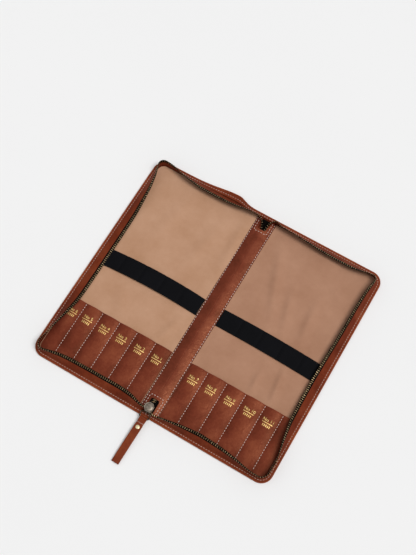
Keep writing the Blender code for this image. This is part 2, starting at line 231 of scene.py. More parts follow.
chestnut = glazed_cowhide("glazed_chestnut_cowhide", "#4f1e10", "#73321e", "#8c4829", 0.42, 0.34)
pocket_hide = glazed_cowhide("polished_chestnut_cowhide", "#471a10", "#6c2f20", "#884730", 0.36, 0.36)
spine_hide = glazed_cowhide("rolled_chestnut_cowhide", "#4e2014", "#6e3223", "#8a4c36", 0.30, 0.42)
wall_hide = glazed_cowhide("waxed_dark_chestnut_cowhide", "#4a1a0f", "#6a2c19", "#844127", 0.6, 0.15)
burnished = glazed_cowhide("burnished_russet_cowhide", "#6a2a12", "#8c4322", "#aa5f31", 0.55, 0.2)


def paint_shading_by(item, amount):
    """Writes the attribute of painted light and shade of a piece from amount(x, y) at each of its points.
    """
    mesh = item.data
    places = np.zeros(len(mesh.vertices) * 3, np.float32)
    mesh.vertices.foreach_get("co", places)
    rub = mesh.attributes.new("rub", "FLOAT", "POINT")
    rub.data.foreach_set("value", np.asarray(amount(places[0::3], places[1::3]), np.float32))


print("leathers:", [item.name for item in bpy.data.materials if "cowhide" in item.name])

# %% [markdown]
# ### Cloth
# The lining is cotton twill, a matt cloth whose threads make slanting ribs. It is slightly fuzzy, which
# gives a pale sheen at low angles. The elastic and the zip's tape are woven too. Each thread could be
# modelled, but two crossed waves draw a weave at no cost. They read the UV map, which holds the cloth's own
# flat length and width, so the ribs bend with it. Real ribs are 0.5 mm apart, and are drawn
# 1.6 mm apart so that they show. The right tray's cloth is the same twill painted a shade darker, as
# painted shade.

# %% Cotton twill and elastic
def woven(name, deep, light, rib, slant, strength, roughness, sheen, gloss=0.2):
    """Cloth from two wave patterns, one for the ribs and one across them."""
    material, shader = new_material(
        name, Roughness=roughness, Sheen_Weight=sheen, Sheen_Roughness=0.5, Specular_IOR_Level=gloss)
    place = add_node(material, "ShaderNodeTexCoord").outputs["UV"]
    turned = add_node(material, "ShaderNodeMapping", {}, {"Vector": place, "Rotation": (0, 0, slant)})
    ribs = add_node(material, "ShaderNodeTexWave", {"bands_direction": "X"}, {
        "Vector": turned.outputs["Vector"], "Scale": 0.314 / rib, "Distortion": 0.6, "Detail": 1.0})
    threads = add_node(material, "ShaderNodeTexWave", {"bands_direction": "Y"}, {
        "Vector": turned.outputs["Vector"], "Scale": 0.45 / rib, "Distortion": 0.5, "Detail": 1.0})
    weave = add_node(material, "ShaderNodeMath", {"operation": "MULTIPLY"}, {
        0: ribs.outputs["Fac"], 1: threads.outputs["Fac"]})
    clouds = add_node(material, "ShaderNodeTexNoise", {}, {
        "Vector": place, "Scale": 1 / 0.06, "Detail": 6.0, "Roughness": 0.65})
    tone = add_node(material, "ShaderNodeMath", {"operation": "MULTIPLY_ADD"}, {
        0: weave.outputs[0], 1: 0.22, 2: clouds.outputs["Fac"]})
    shades = add_node(material, "ShaderNodeValToRGB", {}, {"Fac": tone.outputs[0]})
    ramp = shades.color_ramp
    ramp.elements[0].position, ramp.elements[0].color = 0.3, srgb(deep)
    ramp.elements[1].position, ramp.elements[1].color = 0.85, srgb(light)
    wire(material, shader, Base_Color=shades.outputs["Color"])
    raised = add_node(material, "ShaderNodeBump", {}, {
        "Strength": strength, "Distance": 0.0003, "Height": weave.outputs[0]})
    wire(material, shader, Normal=raised.outputs["Normal"])
    return material


twills = {
    "left": woven("tan_cotton_twill", "#ae8263", "#c49a7e", 0.0016, 0.9, 0.3, 0.85, 0.15),
    # The right tray's copy of the same twill is darker: painted shade.
    "right": woven("tan_cotton_twill_shaded", "#a0745a", "#b68a70", 0.0016, 0.9, 0.3, 0.85, 0.15),
}
elastic_cloth = woven("black_ribbed_elastic", "#040406", "#0b0b10", 0.0018, 0.0, 0.6, 0.75, 0.0, 0.1)
print("cloths:", [cloth.name for cloth in (*twills.values(), elastic_cloth)])

# %% [markdown]
# ### Thread
# Waxed linen thread is two strands twisted together, so light runs over it in short slanting bars. A wave
# pattern used as bump draws them. Thread picks up dirt, so its colour changes a little along the seam, and
# on the rim, where the case is held, it is dirtier.

# %% Waxed thread
def waxed_thread(name, soiled, clean):
    """Thread with the twist of its strands, and soiled here and there."""
    material, shader = new_material(name, Roughness=0.55)
    place = add_node(material, "ShaderNodeTexCoord").outputs["Object"]
    soil = add_node(material, "ShaderNodeTexNoise", {}, {"Vector": place, "Scale": 1 / 0.012})
    tone = add_node(material, "ShaderNodeMix", {"data_type": "RGBA"}, {
        "Factor": soil.outputs["Fac"], "A": srgb(soiled), "B": srgb(clean)})
    wire(material, shader, Base_Color=tone.outputs["Result"])
    twist = add_node(material, "ShaderNodeTexWave", {"bands_direction": "DIAGONAL"}, {
        "Vector": place, "Scale": 0.314 / 0.0008})
    bump = add_node(material, "ShaderNodeBump", {}, {
        "Strength": 0.4, "Distance": 0.0001, "Height": twist.outputs["Fac"]})
    wire(material, shader, Normal=bump.outputs["Normal"])
    return material


thread = waxed_thread("waxed_pale_thread", "#cda898", "#f2ded4")
rim_thread = waxed_thread("waxed_rubbed_thread", "#a5786a", "#dcbdb0")
print("threads:", thread.name, rim_thread.name)

# %% [markdown]
# ### Metal, gilt and board
# Antiqued metal is plated, dipped dark and rubbed back: bright where it was rubbed, brown in the hollows.
# One noise drives its colour, its shine and its dents together, as rubbing does. The marks over the slots
# are pressed through metal leaf, so they are the same finish in gold. Grey board is pressed from waste
# paper, so it is matt and flecked with fibres.

# %% Metals, zip tape, gilt and board
def antique_metal(name, dark, bright, roughness, patch):
    """Metal with dark and rubbed patches, rougher where it is dark."""
    material, shader = new_material(name, Metallic=1.0)
    place = add_node(material, "ShaderNodeTexCoord").outputs["Object"]
    patches = add_node(material, "ShaderNodeTexNoise", {}, {
        "Vector": place, "Scale": 1 / patch, "Detail": 4.0, "Roughness": 0.7})
    rubbed = add_node(material, "ShaderNodeMapRange", {}, {
        "Value": patches.outputs["Fac"], "From Min": 0.35, "From Max": 0.65})
    tone = add_node(material, "ShaderNodeMix", {"data_type": "RGBA"}, {
        "Factor": rubbed.outputs["Result"], "A": srgb(dark), "B": srgb(bright)})
    wire(material, shader, Base_Color=tone.outputs["Result"])
    dull = add_node(material, "ShaderNodeMapRange", {}, {
        "Value": rubbed.outputs["Result"], "To Min": roughness + 0.2, "To Max": roughness})
    wire(material, shader, Roughness=dull.outputs["Result"])
    dents = add_node(material, "ShaderNodeBump", {}, {
        "Strength": 0.2, "Distance": 0.0002, "Height": patches.outputs["Fac"]})
    wire(material, shader, Normal=dents.outputs["Normal"])
    return material


zip_brass = antique_metal("antiqued_brass_teeth", "#2a1f14", "#cfb388", 0.36, 0.003)
old_nickel = antique_metal("antiqued_nickel", "#6b6056", "#a59a8b", 0.36, 0.006)
ring_brass = antique_metal("worn_bronze_wire", "#17110c", "#6f614c", 0.28, 0.005)
rivet_brass = antique_metal("polished_pale_brass", "#d6c596", "#fff4cc", 0.3, 0.004)
gilt = antique_metal("hot_pressed_gilt", "#d9ab5c", "#ffe3a0", 0.5, 0.0015)
zip_tape = woven("dark_cotton_zip_tape", "#070504", "#0f0a07", 0.0012, 0.0, 0.6, 0.9, 0.0, 0.05)

board, board_shader = new_material("pressed_grey_board", Roughness=0.95)
board_place = add_node(board, "ShaderNodeTexCoord").outputs["Object"]
board_flecks = add_node(board, "ShaderNodeTexNoise", {}, {
    "Vector": board_place, "Scale": 1 / 0.0025, "Detail": 6.0})
board_tone = add_node(board, "ShaderNodeMix", {"data_type": "RGBA"}, {
    "Factor": board_flecks.outputs["Fac"], "A": srgb("#77716a"), "B": srgb("#9c968d")})
board_bump = add_node(board, "ShaderNodeBump", {}, {
    "Strength": 0.3, "Distance": 0.0002, "Height": board_flecks.outputs["Fac"]})
wire(board, board_shader, Base_Color=board_tone.outputs["Result"], Normal=board_bump.outputs["Normal"])
for name in ("left_cover_board", "right_cover_board", "spine_stiffener"):
    for entry in frame["nodes"][name].material_slots:
        entry.material = board
print("metals:", [metal.name for metal in (zip_brass, old_nickel, ring_brass, rivet_brass, gilt)])

# %% [markdown]
# ## The tools of the bench
# Most pieces here are sheets of leather or cloth, cut flat and bent into place. So one helper lays a flat
# grid of the piece's real length and width, another moves its points to their place on the case, and a
# third gives the sheet its thickness and rounds its cut edge. The flat grid's own X and Y are kept as the
# UV map, so a weave follows the cloth. Small things that repeat are modelled once and copied.

# %% Helpers for sheets
def only(item):
    """Selects one object and nothing else."""
    bpy.ops.object.select_all(action="DESELECT")
    item.select_set(True)
    bpy.context.view_layer.objects.active = item


def apply_modifier(item, kind, **settings):
    """Adds one modifier and applies it."""
    only(item)
    modifier = item.modifiers.new(kind.title(), kind)
    for name, value in settings.items():
        setattr(modifier, name, value)
    bpy.ops.object.modifier_apply(modifier=modifier.name)


def flat_grid(name, length, width, cell_length, cell_width):
    """A flat sheet from the origin along X and Y."""
    cells_x, cells_y = max(1, round(length / cell_length)), max(1, round(width / cell_width))
    item = start_from(
        bpy.ops.mesh.primitive_grid_add, name, size=1, location=(length / 2, width / 2, 0),
        x_subdivisions=cells_x, y_subdivisions=cells_y)
    bpy.ops.transform.resize(value=(length, width, 1))
    bpy.ops.object.transform_apply(location=True, rotation=False, scale=True)
    return item


def bend_to(item, place):
    """Moves each point of a flat sheet from (u, v) to place(u, v), and keeps (u, v) as its UV map."""
    mesh = item.data
    flat = np.zeros(len(mesh.vertices) * 3, np.float32)
    mesh.vertices.foreach_get("co", flat)
    flat = flat.reshape(-1, 3)
    corners = np.zeros(len(mesh.loops), np.int32)
    mesh.loops.foreach_get("vertex_index", corners)
    mesh.uv_layers.active.data.foreach_set("uv", flat[corners][:, :2].ravel())
    placed = place(flat[:, 0].astype(float), flat[:, 1].astype(float))
    mesh.vertices.foreach_set("co", np.asarray(placed, np.float32).ravel())
    mesh.update()


def smooth(item, angle=0.6):
    """Shades a piece round, but leaves edges sharper than the angle (in radians) crisp."""
    only(item)
    bpy.ops.object.shade_smooth_by_angle(angle=angle)


def thicken(item, thickness, soften=0.0003):
    """Gives a sheet its thickness, half on each side, and rounds its cut edge."""
    apply_modifier(item, "SOLIDIFY", thickness=thickness, offset=0)
    if soften:
        apply_modifier(item, "BEVEL", width=soften, segments=2, limit_method="ANGLE", angle_limit=1.0)
    smooth(item, 0.7)


def dress(item, material):
    """Gives a piece its finish."""
    item.data.materials.clear()
    item.data.materials.append(material)


def second_finish(item, material, wanted):
    """Gives another finish to the faces that are wanted."""
    item.data.materials.append(material)
    for face in item.data.polygons:
        face.material_index = int(wanted(face))


def lumps(x, y, size, seed):
    """Soft hills and hollows from -1 to 1, about that size."""
    return np.array([noise.noise(Vector((a / size, b / size, seed * 7.3))) for a, b in zip(x, y)])


print("lumps over 5 cm of leather:", lumps(np.linspace(0, 0.05, 4), np.zeros(4), 0.02, 1).round(2))

# %% Helpers for repeated things
def copies(name, model, places):
    """Copies of one small model, each with its own mesh, joined as one piece."""
    bpy.ops.object.select_all(action="DESELECT")
    made = []
    for place in places:
        mesh = model.data.copy()
        mesh.transform(place)
        item = bpy.data.objects.new(name, mesh)
        bpy.context.scene.collection.objects.link(item)
        item.select_set(True)
        made.append(item)
    bpy.context.view_layer.objects.active = made[0]
    bpy.ops.object.join()
    joined = bpy.context.object
    joined.name = joined.data.name = name
    return joined


def frames(points, ups):
    """Placing matrices: X along the line of points, Z near the given up, and the point itself."""
    points = np.asarray(points, float)
    placed = []
    for point, run, up in zip(points, np.gradient(points, axis=0), np.broadcast_to(ups, points.shape)):
        x = Vector(run).normalized()
        y = Vector(up).cross(x).normalized()
        matrix = Matrix((x, y, x.cross(y))).transposed().to_4x4()
        matrix.translation = Vector(point)
        placed.append(matrix)
    return placed


def lengths_along(points):
    """Distance of each point from the first, along the line of points."""
    return np.concatenate([[0], np.cumsum(np.linalg.norm(np.diff(points, axis=0), axis=1))])


def spread(points, pitch):
    """Points at an even pitch along a line of points."""
    points = np.asarray(points, float)
    far = lengths_along(points)
    at = np.linspace(0, far[-1], max(2, round(far[-1] / pitch) + 1))
    at = (at[:-1] + at[1:]) / 2
    return np.stack([np.interp(at, far, points[:, axis]) for axis in range(3)], 1)


UPWARD = (0.0, 0.0, 1.0)


def stitch_row(points, pitch):
    """Places for a row of stitches, flat on the piece."""
    return frames(spread(points, pitch), UPWARD)


def curve_through(points, t):
    """Places at t, from 0 to 1, on a smooth curve through the given points."""
    p = np.array([points[0], *points, points[-1]], float)
    count = len(points) - 1
    f = np.clip(np.asarray(t, float) * count, 0, count - 1e-9)
    i = f.astype(int)
    f = (f - i)[:, None]
    a, b, c, d = p[i], p[i + 1], p[i + 2], p[i + 3]
    return 0.5 * (2 * b + (c - a) * f + (2 * a - 5 * b + 4 * c - d) * f**2 + (3 * b - a - 3 * c + d) * f**3)


print("a row of 5 cm takes", len(stitch_row([(0, 0, 0), (0.05, 0, 0)], 0.005)), "stitches")

# %% [markdown]
# ## One stitch and one tooth
# A saddle stitch pulls its thread into the leather at both ends, so each one looks like a grain of rice.
# A zip tooth is a small stamped block with a rounded head. There are hundreds of both, so each has only a
# few dozen faces.

# %% Stitch
STITCH_SIZE = (0.0033, 0.0010, 0.0010)
stitch = start_from(
    bpy.ops.mesh.primitive_uv_sphere_add, "stitch_model", segments=8, ring_count=5, radius=0.5)
bpy.ops.object.mode_set(mode="EDIT")
bpy.ops.transform.resize(value=STITCH_SIZE)
bpy.ops.object.mode_set(mode="OBJECT")
bpy.ops.object.shade_smooth()
print("faces on one stitch:", len(stitch.data.polygons))

# %% Zip tooth
TOOTH_SIZE = (0.0013, 0.0041, 0.0022)  # along the tape, across it and out of it
tooth = start_from(bpy.ops.mesh.primitive_cube_add, "tooth_model", size=1)
bpy.ops.object.mode_set(mode="EDIT")
bpy.ops.transform.resize(value=TOOTH_SIZE)
bpy.ops.mesh.bevel(offset=0.0004, segments=1, affect="EDGES")
bpy.ops.object.mode_set(mode="OBJECT")
smooth(tooth)
print("faces on one tooth:", len(tooth.data.polygons))

# %% [markdown]
# ## The line of the wall
# The wall, the flange it is sewn to, the zip and the stitches all follow one U-shaped line: from the spine
# along the back, round a corner, down the side, round the next corner, and along the front to the spine.
# Length along that line, from the spine's middle, is called s. Seen from above, a straight run is a corner
# whose centre moves, so one formula gives the whole line.

# %% The U
WALL_X = abs(JOINTS["right_side_wall_rise"]["pos_m"][0])
WALL_Y = abs(JOINTS["right_back_wall_rise"]["pos_m"][1])
FOOT_Z = JOINTS["right_side_wall_rise"]["pos_m"][2]
EDGE_X, EDGE_Y, SKIN_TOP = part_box("right_cover_leather")[1]
FLANGE_WIDTH = EDGE_X - WALL_X
CORNER = 0.013
TURN = CORNER * np.pi / 2
MARKS = np.cumsum([0, WALL_X - CORNER, TURN, 2 * (WALL_Y - CORNER), TURN, WALL_X - CORNER])
U_LENGTH = MARKS[-1]
CORNERS = (MARKS[1] + TURN / 2, MARKS[3] + TURN / 2)  # the s of the middle of each corner


def wall_line(s, out=0.0):
    """Place at s, moved outward by out, and the inward direction there; x grows away from the spine."""
    facing = np.interp(s, MARKS, np.radians([90, 90, 0, 0, -90, -90]))
    x = np.interp(s, MARKS, np.array([0, 1, 1, 1, 1, 0]) * (WALL_X - CORNER))
    y = np.interp(s, MARKS, np.array([1, 1, 1, -1, -1, -1]) * (WALL_Y - CORNER))
    cos, sin = np.cos(facing), np.sin(facing)
    return x + (CORNER + out) * cos, y + (CORNER + out) * sin, -cos, -sin


def s_back(x):
    """The s on the back run, that far from the spine's middle."""
    return x


def s_side(y):
    """The s on the side run, that far back of the middle."""
    return MARKS[2] + (WALL_Y - CORNER - y)


def s_front(x):
    """The s on the front run, that far from the spine's middle."""
    return U_LENGTH - x


print("length of one wall, mm:", round(1000 * U_LENGTH))

# %% [markdown]
# The open walls don't stand: held at the corners, they fall in over the tray, flat in the middle of the
# left side and less on the shorter runs. The lean in degrees is written down at a few places and smoothed
# in between.

# %% The lean of each wall
# A place and degrees. Back and front count millimetres from the spine's middle, and the side counts them
# back of the case's middle. Each corner has degrees only.
LEANS = {
    "left": {
        "back": ((9, 23), (33, 24), (45, 31), (58, 40), (75, 46), (100, 48), (127, 45), (142, 36),
                 (156, 28), (172, 13), (185, 0)),
        "back_corner": -8,
        "side": ((177, 14), (164, 30), (138, 50), (110, 65), (82, 79), (34, 84), (-18, 87), (-72, 84),
                 (-93, 74), (-111, 56), (-138, 32), (-162, 16), (-180, 3)),
        "front_corner": 1,
        "front": ((196, 8), (185, 20), (169, 38), (151, 49), (115, 58), (90, 60), (60, 65), (40, 50),
                  (18, 19), (6, 12)),
    },
    "right": {
        "back": ((15, 8), (29, 20), (45, 24), (64, 27), (84, 33), (104, 40), (123, 43), (160, 44),
                 (178, 34), (190, 22)),
        "back_corner": 12,
        "side": ((180, 16), (158, 32), (127, 40), (90, 42), (56, 46), (27, 54), (-15, 63), (-56, 58),
                 (-93, 48), (-127, 22), (-160, -6), (-180, -2)),
        "front_corner": -3,
        "front": ((190, -4), (175, 4), (155, 20), (126, 37), (90, 48), (55, 27), (23, 4), (9, -5)),
    },
}
EVEN_S = np.linspace(0, U_LENGTH, 800)
SMOOTH_OVER = 15  # places of EVEN_S that are averaged into one
SMOOTHING = np.hanning(SMOOTH_OVER) / np.hanning(SMOOTH_OVER).sum()
LEAN_TABLE = {}
for side, leans in LEANS.items():
    knots = [(s_back(x / 1000), lean) for x, lean in leans["back"]] + [(CORNERS[0], leans["back_corner"])]
    knots += [(s_side(y / 1000), lean) for y, lean in leans["side"]] + [(CORNERS[1], leans["front_corner"])]
    knots += [(s_front(x / 1000), lean) for x, lean in leans["front"]]
    rough = np.interp(EVEN_S, *np.transpose(knots))
    padded_out = np.pad(rough, SMOOTH_OVER // 2, mode="edge")
    LEAN_TABLE[side] = np.radians(np.convolve(padded_out, SMOOTHING, mode="valid"))

WALL_REACH = 0.0162  # from the foot of the wall to the top of the zip
CURL = (0.78, 0.44)  # share of the lean at the wall's foot, and what is added to it by the top


def wall_point(side, s, h, out=0.0):
    """Place on a wall at s, h up its height, and out from its outer face."""
    x, y, in_x, in_y = wall_line(s)
    lean = np.interp(s, EVEN_S, LEAN_TABLE[side])
    lean = np.where(np.abs(lean) < 1e-3, 1e-3, lean)
    rate = lean * CURL[1] / WALL_REACH
    low = lean * CURL[0]
    now = low + rate * h
    inward = (np.cos(low) - np.cos(now)) / rate - out * np.cos(now)
    height = (np.sin(now) - np.sin(low)) / rate + out * np.sin(now)
    return np.stack([SIDES[side] * (x + in_x * inward), y + in_y * inward, FOOT_Z + height], 1)


print("most lean, degrees:", {side: round(np.degrees(table.max())) for side, table in LEAN_TABLE.items()})

# %% [markdown]
# ## Outer leather
# One hide wraps the whole case: the outside of both covers and the spine between them. It is made in two
# halves that meet under the middle of the spine. A plane of the full size gets two round corners from a
# vertex bevel, cuts across the fold, and then its thickness. Its cut edge is burnished, which leaves it
# lighter and duller than the face.

# %% Helpers for edit mode
def pick(item, mode, wanted):
    """Selects what is wanted, and goes into edit mode: points and edges by place, faces by normal."""
    only(item)
    bpy.ops.object.mode_set(mode="EDIT")
    bpy.context.tool_settings.mesh_select_mode = (mode == "VERT", mode == "EDGE", mode == "FACE")
    bpy.ops.mesh.select_all(action="DESELECT")
    bpy.ops.object.mode_set(mode="OBJECT")
    mesh = item.data
    if mode == "VERT":
        for vert in mesh.vertices:
            vert.select = wanted(vert.co)
    elif mode == "FACE":
        for face in mesh.polygons:
            face.select = wanted(face.normal)
    else:
        facing = {}
        for face in mesh.polygons:
            for key in face.edge_keys:
                facing.setdefault(key, []).append(face.normal.copy())
        for edge in mesh.edges:
            normals = facing.get(edge.key, [])
            sharp = len(normals) == 2 and normals[0].dot(normals[1]) < 0.5
            ends = [mesh.vertices[index].co for index in edge.vertices]
            edge.select = sharp and wanted((ends[0] + ends[1]) / 2)
    bpy.ops.object.mode_set(mode="EDIT")


FOLD_X = abs(JOINTS["right_fold"]["pos_m"][0])
FOLD_SPREAD = 0.0055
BEND_START, BEND_END = FOLD_X - FOLD_SPREAD, FOLD_X + FOLD_SPREAD


def bend_at_fold(item):
    """Applies the piece's place to its mesh."""
    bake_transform(item)


def slice_at(places, normal):
    """In edit mode, cuts the whole mesh along a plane at each place."""
    for place in places:
        bpy.ops.mesh.select_all(action="SELECT")
        bpy.ops.mesh.bisect(plane_co=place, plane_no=normal)


print("each fold bends over, mm:", round(2000 * FOLD_SPREAD, 1))

# %% The loose length of the rim
BULGE_AT, BULGE_LONG = 0.062, (0.017, 0.048)  # its top, and how far it runs to the spine and outward
BULGE_OUT, BULGE_UP = 0.0066, 0.0044  # how far it stands out and up
BULGE_LAST = 0.170  # no bulge past here


def bulge(side, s, out):
    """How far outward and upward a place on the rim moves, from its distance out from the wall."""
    edge = np.clip(out / FLANGE_WIDTH, 0, 1)
    run = np.where(s < BULGE_AT, *BULGE_LONG)
    lift = np.exp(-((s - BULGE_AT) / run) ** 2) * (s < BULGE_LAST) if side == "left" else 0 * s
    return BULGE_OUT * lift * edge**0.4, BULGE_UP * lift * edge


print("the rim stands out by, mm:", [round(1000 * part, 1) for part in (BULGE_OUT, BULGE_UP)])

# %% Outer leather
COVER_ROUND = CORNER + FLANGE_WIDTH
# Cuts that let the leather curve in the bulge: along the rim, and as shares of the rim's width.
RIM_CUTS, RIM_SHARES = np.linspace(BULGE_AT - 0.036, BULGE_AT + 0.108, 25), (0.0, 0.08, 0.2, 0.4, 0.65, 0.9)
for side, sign in SIDES.items():
    skin = start_from(
        bpy.ops.mesh.primitive_plane_add, f"{side}_outer_leather", size=1,
        location=(sign * EDGE_X / 2, 0, 0))
    bpy.ops.transform.resize(value=(EDGE_X, 2 * EDGE_Y, 1))
    bpy.ops.object.transform_apply(location=True, rotation=False, scale=True)
    pick(skin, "VERT", lambda co: abs(co.x) > EDGE_X / 2)
    bpy.ops.mesh.bevel(offset=COVER_ROUND, affect="VERTICES", segments=12)
    slice_at([(sign * x, 0, 0) for x in np.linspace(BEND_START, BEND_END, 7)], (1, 0, 0))
    if side == "left":
        slice_at([(-x, 0, 0) for x in RIM_CUTS], (1, 0, 0))
        slice_at([(0, WALL_Y + share * FLANGE_WIDTH, 0) for share in RIM_SHARES], (0, 1, 0))
    bpy.ops.object.mode_set(mode="OBJECT")
    for vert in skin.data.vertices:
        outward, upward = bulge(side, abs(vert.co.x), vert.co.y - WALL_Y)
        vert.co.y += outward
        vert.co.z += upward
    apply_modifier(skin, "SOLIDIFY", thickness=SKIN_TOP, offset=1)
    pick(skin, "EDGE", lambda co: abs(co.x) > 0.001)
    bpy.ops.mesh.bevel(offset=0.0004, segments=2, affect="EDGES")
    bpy.ops.object.mode_set(mode="OBJECT")
    smooth(skin)
    dress(skin, chestnut)
    second_finish(skin, burnished, lambda face: abs(face.normal.z) < 0.6)
    bend_at_fold(skin)
    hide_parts(f"{side}_cover_leather", *(["spine_leather"] if side == "left" else []))
    print(skin.name, "faces", len(skin.data.polygons))

# %% [markdown]
# ## Flange
# The wall's leather turns outward at its foot into a flange, which is sewn to the outer leather. It is a
# strip bent round the U, with a section that lies flat and turns up at the heel. Its edge is cut and
# burnished together with the outer leather. Where the spine begins at the back left, the flange is a
# little too long and stands up in a soft bulge.

# %% Flange
FLANGE_Z = (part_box("right_gusset_flange")[0].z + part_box("right_gusset_flange")[1].z) / 2
# The flange's section, from its cut edge to the foot of the wall: how far out, and how high.
SECTION_OUT = np.array([FLANGE_WIDTH, 0.0020, 0.0011, 0.0007, 0.0006])
SECTION_Z = np.array([FLANGE_Z, FLANGE_Z, FLANGE_Z + 0.0003, FLANGE_Z + 0.0010, FLANGE_Z + 0.0022])
SECTION_FAR = np.concatenate([[0], np.cumsum(np.hypot(np.diff(SECTION_OUT), np.diff(SECTION_Z)))])


def flange_point(side, s, v):
    """Place on the flange at s, and v in from its cut edge."""
    out = np.interp(v, SECTION_FAR, SECTION_OUT)
    outward, upward = bulge(side, s, out)
    x, y, _, _ = wall_line(s, out + outward)
    height = np.interp(v, SECTION_FAR, SECTION_Z) + upward
    height = height + 0.00012 * lumps(s, v, 0.012, SIDES[side])
    return np.stack([SIDES[side] * x, y, height], 1)


LEATHER, BURNISHED_IN = 0.0012, 0.0008  # its thickness, and how far the finish of the edge reaches in
SEAM_IN, SEAM_LIFT = 0.0045, 0.00075  # the seam from the cut edge, and its thread over the leather's middle
STITCH_PITCH = 0.0046
for side in SIDES:
    flange = flat_grid(f"{side}_flange", U_LENGTH, SECTION_FAR[-1], 0.0026, 0.0009)
    bend_to(flange, lambda u, v: flange_point(side, u, v))
    thicken(flange, LEATHER)
    dress(flange, chestnut)
    flat_place = flange.data.uv_layers.active.data
    second_finish(flange, burnished, lambda face: flat_place[face.loop_start].uv.y < BURNISHED_IN)
    bend_at_fold(flange)
    bands = ["front_edge_band", "back_edge_band"] if side == "right" else []
    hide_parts(f"{side}_gusset_flange", *bands)

    route = np.linspace(0.0004, U_LENGTH - 0.0004, 900)
    seam = flange_point(side, route, np.full_like(route, SEAM_IN)) + (0, 0, SEAM_LIFT)
    seam = spread(seam, STITCH_PITCH)
    raised = seam[:, 2] - np.median(seam[:, 2])
    below = np.column_stack([seam[:, 0], seam[:, 1], np.where(raised > 0.0004, raised, 0) - 0.0001])
    upper, lower = frames(seam, UPWARD), frames(below, (0, 0, -1))
    sewn = copies(f"{side}_flange_stitches", stitch, upper + lower)
    dress(sewn, rim_thread)
    bend_at_fold(sewn)
    print(flange.name, "stitches", len(upper))

# %% [markdown]
# ## Walls and zip
# Each wall is a strip of thin leather with the zip's tape sewn into its upper edge and the teeth clamped on
# the tape. The wall turns on its foot when the case closes, but its corners can't, so it twists in between.

# %% Stretches of the wall
WALL_BELOW = 0.0015  # the wall's leather starts this far below its foot
LEATHER_TOP, TAPE_LOW, TAPE_TOP, TOOTH_AT = 0.0106, 0.0101, 0.0168, 0.0145  # up the wall from its foot
TAIL_X = 0.026  # where the zip leaves the wall, from the spine's middle
MID_X = abs(JOINTS["right_front_wall_rise"]["pos_m"][0])
# Where each wall starts to turn and where it turns fully: from the spine outwards, then from the corner.
BENDS = {
    ("left", "back"): (0.026, 0.070, 0.125, 0.195), ("right", "back"): (0.026, 0.1095, 0.160, 0.200),
    ("left", "side"): (0.183, 0.045, -0.065, -0.175), ("right", "side"): (0.190, 0.095, -0.070, -0.160),
    ("left", "front"): (0.026, 0.060, 0.125, 0.196), ("right", "front"): (0.026, 0.085, 0.1095, 0.178),
}


def stretches(side):
    """Name, wall, first and last s, and the s where the turn starts and ends, for six stretches."""
    back, along, front = (BENDS[side, wall] for wall in ("back", "side", "front"))
    return [
        ("back_inner", "back", s_back(TAIL_X), s_back(MID_X), s_back(back[0]), s_back(back[1])),
        ("back_outer", "back", s_back(MID_X), CORNERS[0], s_back(back[3]), s_back(back[2])),
        ("side_rear", "side", CORNERS[0], s_side(0), s_side(along[0]), s_side(along[1])),
        ("side_fore", "side", s_side(0), CORNERS[1], s_side(along[3]), s_side(along[2])),
        ("front_outer", "front", CORNERS[1], s_front(MID_X), s_front(front[3]), s_front(front[2])),
        ("front_inner", "front", s_front(MID_X), s_front(TAIL_X), s_front(front[0]), s_front(front[1])),
    ]


def foot_of(side, s):
    """The wall's foot at one s, as a point."""
    x, y, _, _ = wall_line(np.array([s]))
    return (SIDES[side] * x[0], y[0], FOOT_Z)


REPLACED = {
    "back_inner": ("back",), "back_outer": ("back", "back_corner"), "side_rear": ("side", "back_corner"),
    "side_fore": ("side", "front_corner"), "front_outer": ("front", "front_corner"),
    "front_inner": ("front",),
}


for side in SIDES:
    print(side, "stretches, mm:", [round(1000 * (row[3] - row[2])) for row in stretches(side)])

# %% Wall leather and its half of the zip
TOOTH_PITCH = 0.0036  # real teeth are 2.5 mm apart, too close to tell apart from here
TAPE = 0.0006
TAPE_SIZE = TAPE_TOP - TAPE_LOW


def zip_piece(name, length, width, cells, place, teeth_at):
    """A tape bent to its place with its teeth clamped on, joined as one piece."""
    tape = flat_grid(name, length, width, *cells)
    bend_to(tape, place)
    thicken(tape, TAPE, 0)
    tape.data.materials.append(zip_tape)
    teeth = copies(f"{name}_teeth", tooth, teeth_at)
    teeth.data.materials.append(zip_brass)
    only(tape)
    teeth.select_set(True)
    bpy.ops.object.join()
    return tape


for side, sign in SIDES.items():
    for name, wall, first, last, turn_start, turn_end in stretches(side):
        length = last - first

        def on_wall(u, v, low, wave):
            puckers = wave * lumps(first + u, v, 0.007, 3 + sign)
            return wall_point(side, first + u, low + v, puckers)

        leather = flat_grid(f"{side}_{name}_wall", length, LEATHER_TOP + WALL_BELOW, 0.0028, 0.0016)
        bend_to(leather, lambda u, v: on_wall(u, v, -WALL_BELOW, 0.00022))
        thicken(leather, LEATHER)
        dress(leather, wall_hide)

        count = round(length / TOOTH_PITCH)
        at, up = first + (np.arange(count) + 0.5) * length / count, np.full(count, TOOTH_AT)
        row = wall_point(side, at, up, 0.0001)
        tape = zip_piece(
            f"{side}_{name}_zip", length, TAPE_SIZE, (0.0030, 0.0018),
            lambda u, v: on_wall(u, v, TAPE_LOW, 0.0), frames(row, wall_point(side, at, up, 0.0011) - row))

        start, end = foot_of(side, turn_start), foot_of(side, turn_end)
        for piece, kind in ((leather, "gusset"), (tape, "zip")):
            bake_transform(piece)
            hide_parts(*[f"{side}_{part}_{kind}" for part in REPLACED[name]])
print("teeth per side:", round((U_LENGTH - 2 * TAIL_X) / TOOTH_PITCH))

# %% [markdown]
# ## Zip tails
# At the front both halves of the zip leave the walls and run into the slider. At the back they turn side by
# side into the notch of the spine strip and go under it. Each tail is a ruled strip between two curves, one
# for its foot and one for its top, and starts from the wall's own section so that no step shows.

